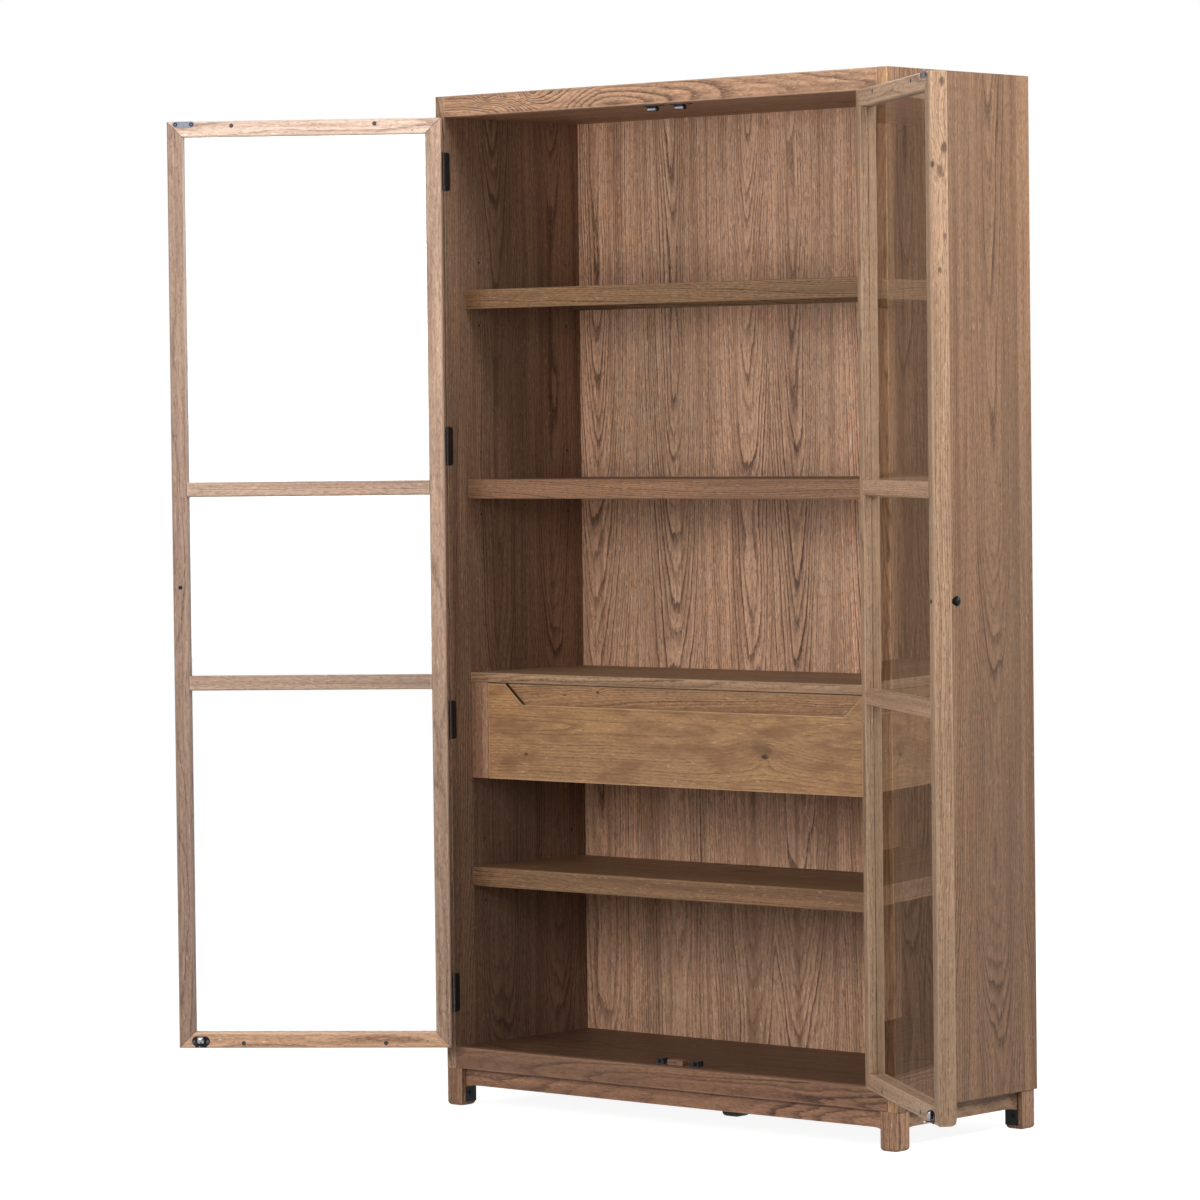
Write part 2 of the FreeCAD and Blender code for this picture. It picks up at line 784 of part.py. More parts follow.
def drawer_unit():
    """The fixed box round the drawer."""
    back = shelf_back_y
    post_back = unit_y + s.unit_post_thick
    top = new_body("drawer_unit_top")
    pad(top, "YZ", eased((unit_y, back), (unit_ceiling, s.unit_top), s.case_arris, (0, 3)), -unit_x, unit_x)
    keep("drawer_unit_top", top)
    posts = []
    sides = []
    for sign in (LEFT, RIGHT):
        side = SIDE_NAMES[sign]
        post = new_body(f"{side}_unit_post")
        pad(post, "XY", eased(both(sign, drawer_space_x, unit_x), (unit_y, post_back), s.case_arris, (0, 1)),
            unit_bottom, unit_ceiling)
        posts.append(post)
        sides.append(box(f"{side}_unit_side", both(sign, unit_x - s.unit_side_thick, unit_x),
                         (post_back, back), (unit_bottom, unit_ceiling)))
        sides.append(box(f"{side}_runner_packer", both(sign, drawer_space_x, unit_x - s.unit_side_thick),
                         (runner_y, runner_end_y), (runner_z, runner_z + s.runner_height)))
    keep_group("drawer_unit_posts", posts)
    keep_group("drawer_unit_sides", sides)
    base_x = unit_x - s.unit_side_thick
    base_z = unit_bottom + s.unit_base_raise
    keep("drawer_unit_base", box("drawer_unit_base", (-base_x, base_x), (front_back_y + s.fit_play, back),
                                 (base_z, base_z + s.unit_base_thick)))


def drawer():
    """The drawer: cut-out face on a backing board, and a box grooved for its bottom."""
    half = drawer_space_x - s.drawer_gap
    top = unit_ceiling - s.drawer_gap
    grip = half - s.grip_margin
    grip_floor = grip - s.grip_slope
    notch = top - s.grip_depth
    face = new_body("drawer_face")
    outline = [(-half, unit_bottom), (half, unit_bottom), (half, top), (grip, top), (grip_floor, notch),
               (-grip_floor, notch), (-grip, top), (-half, top)]
    pad(face, "XZ", outline, unit_y, unit_y + s.face_thick)
    keep("drawer_face", face)
    keep("drawer_backing", box("drawer_backing", (-half, half), (unit_y + s.face_thick, front_back_y),
                               (unit_bottom, top)))
    end = drawer_end_y
    box_top = box_bottom + s.drawer_side_height
    inner = drawer_x - s.drawer_side_thick
    groove_low = box_bottom + s.drawer_base_raise
    groove = s.drawer_side_thick / 2
    cutter = box("drawer_groove", (-inner - groove, inner + groove),
                 (front_back_y, end - groove), (groove_low, groove_low + s.drawer_base_thick))
    sides = []
    for sign in (LEFT, RIGHT):
        name = f"{SIDE_NAMES[sign]}_drawer_side"
        board = box(name + "_board", both(sign, inner, drawer_x), (front_back_y, end), (box_bottom, box_top))
        sides.append(cut(name, board, [cutter]))
    keep_group("drawer_sides", sides)
    back = box("drawer_back_board", (-inner, inner), (end - s.drawer_side_thick, end), (box_bottom, box_top))
    keep("drawer_back", cut("drawer_back", back, [cutter]))
    play = s.fit_play / 2
    keep("drawer_base", box("drawer_base", (-inner - groove + play, inner + groove - play),
                            (front_back_y + play, end - groove - play),
                            (groove_low + play, groove_low + s.drawer_base_thick - play)))


def channel(name, sign, web, tip, half):
    """A C channel along Y. web and tip are distances from the runner's packer, half is half its height."""
    wall = s.channel_wall if tip.value > web.value else -s.channel_wall

    def at(distance):
        return sign * (drawer_space_x - distance)

    middle = runner_z + s.runner_height / 2
    low, high = middle - half, middle + half
    body = new_body(name)
    outline = [(at(web), low), (at(tip), low), (at(tip), low + s.channel_wall),
               (at(web + wall), low + s.channel_wall), (at(web + wall), high - s.channel_wall),
               (at(tip), high - s.channel_wall), (at(tip), high), (at(web), high)]
    return pad(body, "XZ", outline, runner_y, runner_end_y)


def runners():
    """Three channels a side, one inside the next, a running gap between them."""
    step = s.channel_wall + s.slide_gap
    half = s.runner_height / 2
    tip = s.runner_thick - s.channel_wall
    sections = {
        "runner_fixed": (as_size(0), tip, half),
        "runner_middle": (step, tip, half - step),
        "runner_inner": (s.runner_thick, 2 * step, half - 2 * step),
    }
    for name, section in sections.items():
        pair = [channel(f"{name}_{SIDE_NAMES[sign]}", sign, *section) for sign in (LEFT, RIGHT)]
        keep_group(name, pair)


# ---- Doors: modelled shut, with the hinge axis at X = Y = 0 ----

def across(sign, distance):
    """X of a distance from the door's hinge edge towards its free edge."""
    return (-sign) * (s.hinge_gap / 2 + distance)


def deep(distance):
    """Y of a distance behind the door's front face."""
    return s.axis_out + distance


def hang(sign, piece, pieces):
    """Turns finished door pieces to where the door stands open."""
    label = f"{SIDE_NAMES[sign]}_door_{piece}"
    group = together(label, pieces)
    group.Placement = FreeCAD.Placement(FreeCAD.Vector(), FreeCAD.Rotation(FreeCAD.Vector(0, 0, 1), 10))
    put(group, sign * axis_x, axis_y, as_size(0))
    angle = s.right_open_angle if sign == RIGHT else -s.left_open_angle
    bind(group, "Placement.Rotation.Angle", angle)
    keep(label, group)


def grooved(near, far, place):
    """Section of a frame member, arrises off, with the glass groove in its far edge."""
    arris = s.door_arris
    inward = 1 if far.value > near.value else -1
    low = s.glass_set - s.fit_play
    high = s.glass_set + s.glass_thick + s.fit_play
    floor = far - inward * s.glass_groove
    section = [(near + inward * arris, 0), (far - inward * arris, 0), (far, arris), (far, low), (floor, low),
               (floor, high), (far, high), (far, s.door_thick - arris), (far - inward * arris, s.door_thick),
               (near + inward * arris, s.door_thick), (near, s.door_thick - arris), (near, arris)]
    return [place(as_size(a), as_size(b)) for a, b in section]


def mitre(body, sign, corner, inward, upright):
    """Cuts one end of a frame member at 45 degrees. inward points from the corner into the door."""
    u, z = corner
    iu, iz = inward
    relief = s.mitre_relief
    reach = s.frame_width + OVERRUN
    lean = iz * relief if upright else -iz * relief
    near = (u - iu * OVERRUN, z - iz * OVERRUN + lean)
    far = (u + iu * reach, z + iz * reach + lean)
    third = (u + iu * reach, z - iz * OVERRUN) if upright else (u - iu * OVERRUN, z + iz * reach)
    outline = [(across(sign, as_size(a)), b) for a, b in (near, far, third)]
    pocket(body, "XZ", outline, deep(-OVERRUN), deep(s.door_thick + OVERRUN))


def round_over(body, span):
    """Rounds the door's lower front edge off a member that reaches it."""
    radius = s.door_rounding
    outline = [(deep(-OVERRUN), door_bottom - OVERRUN), (deep(radius), door_bottom - OVERRUN),
               (deep(radius), door_bottom, radius, -1), (deep(0), door_bottom + radius),
               (deep(-OVERRUN), door_bottom + radius)]
    pocket(body, "YZ", outline, *span)


def stile(sign, name, outer, inner, mortise=None):
    """An upright of the door frame, mitred at both ends."""
    body = new_body(f"{SIDE_NAMES[sign]}_{name}")
    pad(body, "XY", grooved(outer, inner, lambda a, b: (across(sign, a), deep(b))), door_bottom, door_top)
    inward = 1 if inner.value > outer.value else -1
    mitre(body, sign, (outer, door_top), (inward, -1), True)
    mitre(body, sign, (outer, door_bottom), (inward, 1), True)
    edges = sorted((across(sign, outer), across(sign, inner)), key=lambda size: size.value)
    round_over(body, (edges[0] - OVERRUN, edges[1] + OVERRUN))
    return body


def rail(sign, name, outer, inner):
    """The top or bottom of the door frame, mitred at both ends."""
    body = new_body(f"{SIDE_NAMES[sign]}_{name}")
    ends = sorted((across(sign, as_size(0)), across(sign, door_width)), key=lambda size: size.value)
    pad(body, "YZ", grooved(outer, inner, lambda a, b: (deep(b), a)), *ends)
    inward = 1 if inner.value > outer.value else -1
    mitre(body, sign, (as_size(0), outer), (1, inward), False)
    mitre(body, sign, (door_width, outer), (-1, inward), False)
    if inward > 0:
        round_over(body, (ends[0] - OVERRUN, ends[1] + OVERRUN))
    return body


def mid_rail(sign, name, top):
    """A rail between the stiles, grooved above and below for the glass."""
    body = new_body(f"{SIDE_NAMES[sign]}_{name}")
    low, high = top - s.mid_rail_height, top
    arris = s.door_arris
    groove = s.glass_groove
    near, far = s.glass_set - s.fit_play, s.glass_set + s.glass_thick + s.fit_play
    section = [(arris, low), (near, low), (near, low + groove), (far, low + groove), (far, low),
               (s.door_thick - arris, low), (s.door_thick, low + arris), (s.door_thick, high - arris),
               (s.door_thick - arris, high), (far, high), (far, high - groove), (near, high - groove),
               (near, high), (arris, high), (0, high - arris), (0, low + arris)]
    ends = sorted((across(sign, s.frame_width), across(sign, door_width - s.frame_width)),
                  key=lambda size: size.value)
    return pad(body, "YZ", [(deep(a), b) for a, b in section], *ends)


def glass(sign):
    """Three panes, loose in the grooves of the frame."""
    edge = s.frame_width - s.glass_groove + s.fit_play
    ends = sorted((across(sign, edge), across(sign, door_width - edge)), key=lambda size: size.value)
    reach = s.glass_groove - s.fit_play
    levels = [door_bottom + s.frame_width, s.unit_top - s.mid_rail_height, s.unit_top,
              s.middle_shelf_top - s.mid_rail_height, s.middle_shelf_top, door_top - s.frame_width]
    panes = []
    for low, high in zip(levels[::2], levels[1::2]):
        panes.append(box(f"{SIDE_NAMES[sign]}_pane", tuple(ends),
                         (deep(s.glass_set), deep(s.glass_set + s.glass_thick)), (low - reach, high + reach)))
    return panes


def knob(sign):
    """A turned knob on the free stile, and the screw that holds it from inside."""
    side = SIDE_NAMES[sign]
    centre = (across(sign, door_width - s.knob_across), s.knob_z)
    rim = s.knob_diameter / 2
    head_y = s.knob_crown - s.knob_length
    turned = new_body(f"{side}_knob")
    outline = [(0, deep(0)), (s.knob_neck / 2, deep(0)), (s.knob_neck / 2, deep(head_y / 2)),
               (rim, deep(head_y + s.knob_rim)), (rim, deep(head_y)),
               (s.knob_crown_flat / 2, deep(-s.knob_length)), (0, deep(-s.knob_length))]
    revolve(turned, centre, outline)
    pocket(turned, "XZ", ring(centre, s.knob_screw / 2 + s.pin_running_clearance),
           deep(-s.knob_screw_depth - s.fit_play), deep(0))
    screw = new_body(f"{side}_knob_screw")
    pad(screw, "XZ", ring(centre, s.knob_screw / 2), deep(-s.knob_screw_depth), deep(s.door_thick))
    pad(screw, "XZ", ring(centre, s.knob_screw_head / 2), deep(s.door_thick),
        deep(s.door_thick + s.knob_screw_head_height))
    return turned, screw


def strike_plate(sign):
    """The steel plate that the upper catch holds, on the top rail's inner face."""
    middle = (across(sign, door_width - s.catch_across), door_top - s.strike_height / 2)
    return pad(new_body(f"{SIDE_NAMES[sign]}_strike"), "XZ", oval(middle, s.strike_width, s.strike_height),
               deep(s.door_thick), deep(s.door_thick + s.strike_thick))


def catch_tongue(sign):
    """The lower catch: a plate with round ends, the block on it and its spear, pointing into the case."""
    centre = across(sign, door_width - s.tongue_across)
    low = door_bottom + s.tongue_plate_raise
    inside = deep(s.door_thick)
    surface = deep(s.door_thick + s.strike_thick)
    body = new_body(f"{SIDE_NAMES[sign]}_tongue")
    plate = oval((centre, low + s.tongue_plate_height / 2), s.tongue_plate_width, s.tongue_plate_height)
    pad(body, "XZ", plate, inside, surface)
    block_top = low + s.tongue_plate_height - s.tongue_plate_raise
    half = s.tongue_block_width / 2
    block = rectangle((centre - half, centre + half), (block_top - s.tongue_block_height, block_top))
    pad(body, "XZ", block, inside, surface + s.tongue_block_depth)
    neck = s.tongue_neck / 2
    head = s.tongue_head / 2
    tip = surface + s.tongue_length
    waist = tip - s.tongue_length / 3
    barb = tip - s.tongue_length / 4
    spear = [(centre - neck, inside), (centre + neck, inside), (centre + neck, waist),
             (centre + head, barb), (centre + neck / 2, tip), (centre - neck / 2, tip),
             (centre - head, barb), (centre - neck, waist)]
    spear_low = low + s.tongue_raise
    pad(body, "XY", spear, spear_low, spear_low + s.tongue_height)
    return body


def cover_caps(sign):
    """Four caps over the frame's screws, on the inner face near its corners."""
    places = [(u, z) for u in (s.cap_hinge_side, door_width - s.cap_free_side)
              for z in (door_bottom + s.cap_inset, door_top - s.cap_inset)]
    return [rod(f"{SIDE_NAMES[sign]}_cap", "Y", (across(sign, u), deep(s.door_thick), z), s.cap_proud,
                s.cap_diameter) for u, z in places]


def door(sign, leaf, mortise):
    """One door with everything that swings with it."""
    side = SIDE_NAMES[sign]
    places = [(as_size(0), as_size(0), z, sign == RIGHT) for z in hinge_heights()]
    hinge_stile = stile(sign, "hinge_stile_blank", as_size(0), s.frame_width)
    hang(sign, "hinge_stile", [cut(f"{side}_hinge_stile", hinge_stile,
                                   copies(f"{side}_stile_mortise", mortise, places))])
    free = stile(sign, "free_stile", door_width, door_width - s.frame_width)
    centre = (across(sign, door_width - s.knob_across), s.knob_z)
    pocket(free, "XZ", ring(centre, s.knob_screw / 2 + s.fit_play),
           deep(-OVERRUN), deep(s.door_thick + OVERRUN))
    hang(sign, "free_stile", [free])
    hang(sign, "top_rail", [rail(sign, "door_top_rail", door_top, door_top - s.frame_width)])
    hang(sign, "bottom_rail", [rail(sign, "door_bottom_rail", door_bottom, door_bottom + s.frame_width)])
    hang(sign, "mid_rails", [mid_rail(sign, "upper_mid_rail", s.middle_shelf_top),
                             mid_rail(sign, "lower_mid_rail", s.unit_top)])
    hang(sign, "glass", glass(sign))
    hang(sign, "hinge_leaves", copies(f"{side}_door_leaf", leaf, places))
    turned, screw = knob(sign)
    hang(sign, "knob", [turned, screw])
    hang(sign, "strike_plate", [strike_plate(sign)])
    hang(sign, "catch_tongue", [catch_tongue(sign)])
    hang(sign, "cover_caps", cover_caps(sign))


# ---- Catches in the case ----

def magnet_catches():
    """Magnetic catches under the top, facing the strike plates."""
    pole_y = shut_back_y + s.strike_thick + s.fit_play
    body_y = pole_y + s.pole_proud
    bodies = []
    poles = []
    for sign in (LEFT, RIGHT):
        side = SIDE_NAMES[sign]
        x = sign * (axis_x - s.hinge_gap / 2 - door_width + s.catch_across)
        flange_z = ceiling_z - s.flange_thick
        flange = box(f"{side}_flange", (x - s.flange_width / 2, x + s.flange_width / 2),
                     (body_y, body_y + s.magnet_depth), (flange_z, ceiling_z))
        low = flange_z - s.magnet_height
        block = box(f"{side}_magnet_block", (x - s.magnet_width / 2, x + s.magnet_width / 2),
                    (body_y, body_y + s.magnet_depth), (low, flange_z))
        middle = (low + flange_z) / 2
        pole = box(f"{side}_pole", (x - s.pole_width / 2, x + s.pole_width / 2),
                   (pole_y, pole_y + s.pole_depth), (middle - s.pole_height / 2, middle + s.pole_height / 2))
        bodies.append(cut(f"{side}_magnet", fuse(f"{side}_magnet_body", [flange, block]), [pole]))
        poles.append(pole)
    keep_group("magnet_catch_bodies", bodies)
    keep_group("magnet_catch_poles", poles)


def roller_catches():
    """A bracket with two upright rollers on the base for each door's spear."""
    pieces = []
    front = shut_back_y + s.strike_thick + s.fit_play
    back = front + s.roller_bracket_depth
    wall = s.roller_bracket_wall
    low, high = floor_z, floor_z + s.roller_bracket_height
    for sign in (LEFT, RIGHT):
        side = SIDE_NAMES[sign]
        x = sign * (axis_x - s.hinge_gap / 2 - door_width + s.tongue_across)
        bracket = new_body(f"{side}_roller_bracket")
        section = [(front, low), (back, low), (back, high), (front, high), (front, high - wall),
                   (back - wall, high - wall), (back - wall, low + wall), (front, low + wall)]
        pad(bracket, "YZ", section, x - s.roller_bracket_width / 2, x + s.roller_bracket_width / 2)
        pieces.append(bracket)
        for end in (LEFT, RIGHT):
            place = (x + end * s.roller_spacing / 2, (front + back) / 2, low + wall)
            pieces.append(rod(f"{side}_roller", "Z", place, high - low - 2 * wall, s.roller_diameter))
    keep_group("roller_catches", pieces)


def stop_block():
    """The block on the base that both doors close against."""
    half = s.stop_width / 2
    front = shut_back_y + s.fit_play
    block = new_body("stop_block")
    pad(block, "XY", eased((-half, half), (front, front + s.stop_depth), 2 * s.case_arris, (2, 3)),
        floor_z, floor_z + s.stop_height)
    keep("stop_block", block)


# ---- Assembly ----

def build():
    """Makes every sub-part."""
    leaf = hinge_leaf()
    mortise = leaf_plate("hinge_mortise")
    for sign in (LEFT, RIGHT):
        side_panel(sign, mortise)
        front_post(sign, mortise)
    top_and_base()
    back_panel()
    legs()
    leg_brackets()
    aprons()
    shelf_pins()
    for name, top in lip_top.items():
        shelf(f"shelf_{name}", top)
    drawer_unit()
    drawer()
    runners()
    case_hinges(leaf)
    magnet_catches()
    roller_catches()
    stop_block()
    for sign in (LEFT, RIGHT):
        door(sign, leaf, mortise)


def check():
    """Stops on any failed object, bad shape or cut that took nothing away."""
    for item in doc.Objects:
        if {"Invalid", "Error"} & set(item.State):
            raise RuntimeError(f"{item.Name} failed: {item.State}")
        if item.TypeId == "PartDesign::Pocket":
            before = item.BaseFeature.Shape.Volume
            if item.Shape.Volume > before - 1e-6 * before:
                raise RuntimeError(f"{item.Name} cuts nothing")
    for label, piece in nodes.items():
        if piece.Shape.isNull() or not piece.Shape.isValid() or not piece.Shape.Solids:
            raise RuntimeError(f"{label} has no valid solid")


def export():
    """Writes each sub-part to its own file."""
    os.makedirs("parts", exist_ok=True)
    for label, piece in nodes.items():
        piece.Shape.exportStep(f"parts/{label}.step")
    print(len(nodes), "sub-parts")


build()
doc.recompute()
check()
export()
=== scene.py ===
"""Finishes for a two-door glazed oak bookcase: wood, glass, steel, small fasteners, stage and camera.

Metres, in the part's own frame: +X right, the front at -Y, +Z up, and the origin on the floor under the
centre foot.
"""
from __future__ import annotations

import json
import logging
import math
from dataclasses import dataclass, field
from enum import Enum
from typing import Callable, Iterable, Sequence, Union

import bpy
import numpy as np
from mathutils import Matrix, Vector

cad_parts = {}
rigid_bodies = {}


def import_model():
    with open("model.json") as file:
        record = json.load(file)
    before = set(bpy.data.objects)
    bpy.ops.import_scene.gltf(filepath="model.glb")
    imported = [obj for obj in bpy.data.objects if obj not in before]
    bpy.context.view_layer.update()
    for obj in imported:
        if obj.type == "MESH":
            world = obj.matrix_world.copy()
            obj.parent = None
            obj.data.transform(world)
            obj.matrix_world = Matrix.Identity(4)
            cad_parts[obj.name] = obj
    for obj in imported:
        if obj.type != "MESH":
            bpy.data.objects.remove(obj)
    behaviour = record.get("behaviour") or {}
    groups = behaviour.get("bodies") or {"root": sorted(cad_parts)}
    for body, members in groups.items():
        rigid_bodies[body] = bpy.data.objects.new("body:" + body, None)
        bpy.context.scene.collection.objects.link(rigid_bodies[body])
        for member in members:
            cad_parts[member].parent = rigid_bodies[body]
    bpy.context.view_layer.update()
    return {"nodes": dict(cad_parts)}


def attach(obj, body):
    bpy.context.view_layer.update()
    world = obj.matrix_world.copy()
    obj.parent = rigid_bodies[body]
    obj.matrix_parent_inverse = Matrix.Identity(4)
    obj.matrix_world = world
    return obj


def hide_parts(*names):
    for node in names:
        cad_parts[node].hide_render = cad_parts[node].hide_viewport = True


LOG = logging.getLogger("bookcase")
Number = Union[int, float]
Triple = tuple[float, float, float]
HINGE_AXIS = (0.574, -0.2295)    # X and Y of the right door's pins; the left door's X is its negative
SHARP_EDGE = math.radians(38)    # faces that meet at more than this show an edge


# ---- Shader graph ----

def arithmetic(operation: str, reflected: bool = False) -> Callable[..., "Wire"]:
    """An operator for wires, which adds one Math node.

    Args:
        operation: the Math node's operation.
        reflected: whether the wire itself comes last.

    Returns:
        The operator's method.
    """
    def apply(wire: "Wire", *others: "Wire | Number") -> "Wire":
        """The node's result."""
        return wire.graph.math(operation, *((*others, wire) if reflected else (wire, *others)))
    return apply


class Wire:
    """A shader socket that takes part in arithmetic: every operator adds a Math node to its graph."""

    def __init__(self, graph: "Graph", socket: bpy.types.NodeSocket) -> None:
        """Keeps the socket with its graph."""
        self.graph = graph
        self.socket = socket

    __add__ = arithmetic("ADD")
    __radd__ = arithmetic("ADD", True)
    __sub__ = arithmetic("SUBTRACT")
    __rsub__ = arithmetic("SUBTRACT", True)
    __mul__ = arithmetic("MULTIPLY")
    __rmul__ = arithmetic("MULTIPLY", True)
    __truediv__ = arithmetic("DIVIDE")
    __pow__ = arithmetic("POWER")
    __abs__ = arithmetic("ABSOLUTE")
    __mod__ = arithmetic("FLOORED_MODULO")
    floor = arithmetic("FLOOR")
    low = arithmetic("MINIMUM")
    high = arithmetic("MAXIMUM")

    def rise(self, start: float, end: float) -> "Wire":
        """A smooth step: 0 at start, 1 at end, which may be the lower of the two."""
        return self.graph.wire("ShaderNodeMapRange", {"interpolation_type": "SMOOTHSTEP"},
                               {0: self, 1: start, 2: end, 3: 0.0, 4: 1.0})


class Graph:
    """The node tree of one material or world, with few ways to add to it."""

    def __init__(self, owner: bpy.types.Material | bpy.types.World) -> None:
        """Empties the owner's node tree.

        Args:
            owner: the material or world that the graph is for.
        """
        owner.use_nodes = True
        self.tree = owner.node_tree
        self.tree.nodes.clear()

    def node(self, kind: str, settings: dict | None = None,
             sockets: dict | None = None) -> bpy.types.Node:
        """Adds a node, sets it up, then fills its sockets.

        Args:
            kind: Blender's name for the node type.
            settings: the node's own settings, and "stops" for a colour ramp.
            sockets: a value or a Wire for each input, by name or number.

        Returns:
            The new node.
        """
        made = self.tree.nodes.new(kind)
        for name, value in (settings or {}).items():
            if name == "stops":
                self._stops(made.color_ramp, value)
            else:
                setattr(made, name, value)
        self.fill(made, sockets or {})
        return made

    def wire(self, kind: str, settings: dict | None = None, sockets: dict | None = None,
             output: int | str = 0) -> Wire:
        """Adds a node, as node() does, and takes one of its outputs."""
        return Wire(self, self.node(kind, settings, sockets).outputs[output])

    def fill(self, node: bpy.types.Node, sockets: dict) -> None:
        """Fills a node's sockets.

        Args:
            node: any node of this graph.
            sockets: a value or a Wire for each input, by name or number.
        """
        for name, value in sockets.items():
            if isinstance(value, Wire):
                self.tree.links.new(value.socket, node.inputs[name])
            else:
                node.inputs[name].default_value = value

    @staticmethod
    def _stops(ramp: bpy.types.ColorRamp, stops: Sequence[tuple[float, float]]) -> None:
        """Sets a ramp's places and grey levels.

        Args:
            ramp: the node's ramp.
            stops: (place, level) from left to right.
        """
        while len(ramp.elements) < len(stops):
            ramp.elements.new(0.5)
        for element, (place, level) in zip(ramp.elements, stops):
            element.position = place
            element.color = (level, level, level, 1.0)

    def math(self, operation: str, *values: Wire | Number) -> Wire:
        """A Math node on values or wires."""
        return self.wire("ShaderNodeMath", {"operation": operation}, dict(enumerate(values)))

    def vector(self, operation: str, *values: Wire | Triple) -> Wire:
        """A Vector Math node."""
        return self.wire("ShaderNodeVectorMath", {"operation": operation}, dict(enumerate(values)))

    def split(self, vector: Wire) -> tuple[Wire, Wire, Wire]:
        """The three parts of a vector."""
        node = self.node("ShaderNodeSeparateXYZ", None, {0: vector})
        return tuple(Wire(self, output) for output in node.outputs)

    def join(self, x: Wire | Number, y: Wire | Number, z: Wire | Number) -> Wire:
        """A vector from three parts."""
        return self.wire("ShaderNodeCombineXYZ", None, {0: x, 1: y, 2: z})

    def grey(self, level: Wire) -> Wire:
        """A colour or vector with the same value in all three parts."""
        return self.join(level, level, level)

    def place(self, move: Matrix | None = None) -> Wire:
        """Object coordinates, as they are or moved.

        Args:
            move: a rigid matrix to move them by.

        Returns:
            The place as a vector.
        """
        spot = self.wire("ShaderNodeTexCoord", output="Object")
        if move is None:
            return spot
        return self.wire("ShaderNodeMapping", {"vector_type": "POINT"},
                         {"Vector": spot, "Location": tuple(move.to_translation()),
                          "Rotation": tuple(move.to_3x3().to_euler("XYZ"))})

    def noise(self, place: Wire, scale: Triple, detail: float = 2.0, roughness: float = 0.5) -> Wire:
        """Smooth noise from 0 to 1, with its own scale along each axis."""
        return self.wire("ShaderNodeTexNoise", {"noise_dimensions": "3D"},
                         {"Vector": self.vector("MULTIPLY", place, scale), "Scale": 1.0, "Detail": detail,
                          "Roughness": roughness})

    def lot(self, number: Wire, output: str) -> Wire:
        """A random "Value" or "Color" for each whole number."""
        return self.wire("ShaderNodeTexWhiteNoise", {"noise_dimensions": "1D"}, {"W": number}, output)

    def ramp(self, value: Wire, stops: Sequence[tuple[float, float]]) -> Wire:
        """A grey ramp read at a value."""
        return self.wire("ShaderNodeValToRGB", {"stops": stops}, {0: value})

    def blend(self, share: Wire | Number, near: Wire | Triple, far: Wire | Triple) -> Wire:
        """Mixes two colours: a share of 0 gives the near one, and 1 the far one."""
        near, far = (colour if isinstance(colour, Wire) else (*colour, 1.0) for colour in (near, far))
        return self.wire("ShaderNodeMix", {"data_type": "RGBA", "clamp_factor": True},
                         {0: share, 6: near, 7: far}, 2)

    def bump(self, height: Wire, distance: float, strength: float) -> Wire:
        """A normal from a height."""
        return self.wire("ShaderNodeBump", None,
                         {"Height": height, "Distance": distance, "Strength": strength})

    def background_rays(self) -> Wire:
        """Tells rays that show the background from those that only light the object.

        Returns:
            1 for a ray straight from the camera, off gloss or through glass, else 0.
        """
        path = self.node("ShaderNodeLightPath")
        camera, glossy, glass = (Wire(self, path.outputs[f"Is {kind} Ray"])
                                 for kind in ("Camera", "Glossy", "Transmission"))
        return camera.high(glossy).high(glass)


def srgb(*levels: int) -> Triple:
    """A colour as a screen shows it, in levels from 0 to 255, made linear."""
    shares = [level / 255 for level in levels]
    return tuple(share / 12.92 if share <= 0.04045 else ((share + 0.055) / 1.055) ** 2.4 for share in shares)


WORN_AND_HIGHLIT_OAK = srgb(206, 178, 151)    # where the brush took off the stain, and painted highlight along the arrises


def new_material(name: str) -> tuple[bpy.types.Material, Graph, bpy.types.Node]:
    """An empty material with a Principled shader on its output.

    Args:
        name: the material's name.

    Returns:
        The material, its graph and its shader node.
    """
    material = bpy.data.materials.new(name)
    graph = Graph(material)
    shader = graph.node("ShaderNodeBsdfPrincipled")
    graph.node("ShaderNodeOutputMaterial", None, {0: Wire(graph, shader.outputs[0])})
    return material, graph, shader


def feed(graph: Graph, shader: bpy.types.Node, **sockets: Wire | Number | Triple) -> None:
    """Fills a shader's sockets; a name's underscores stand for spaces."""
    graph.fill(shader, {name.replace("_", " "): (*value, 1.0) if isinstance(value, tuple) else value
                        for name, value in sockets.items()})


# ---- Doors as placed ----

class Side(Enum):
    """A door's side of the case."""

    LEFT = -1
    RIGHT = 1


@dataclass(frozen=True)
class DoorFrame:
    """A shut door's outer sizes and its place; X is the right door's."""

    width: float = 0.5715
    thick: float = 0.035
    height: float = 1.928
    hinge_edge: float = 0.573
    front: float = -0.225
    low: float = 0.126

    @property
    def inside(self) -> float:
        """Y of the inner face."""
        return self.front + self.thick

    @property
    def high(self) -> float:
        """Z of the top edge."""
        return self.low + self.height


DOOR = DoorFrame()


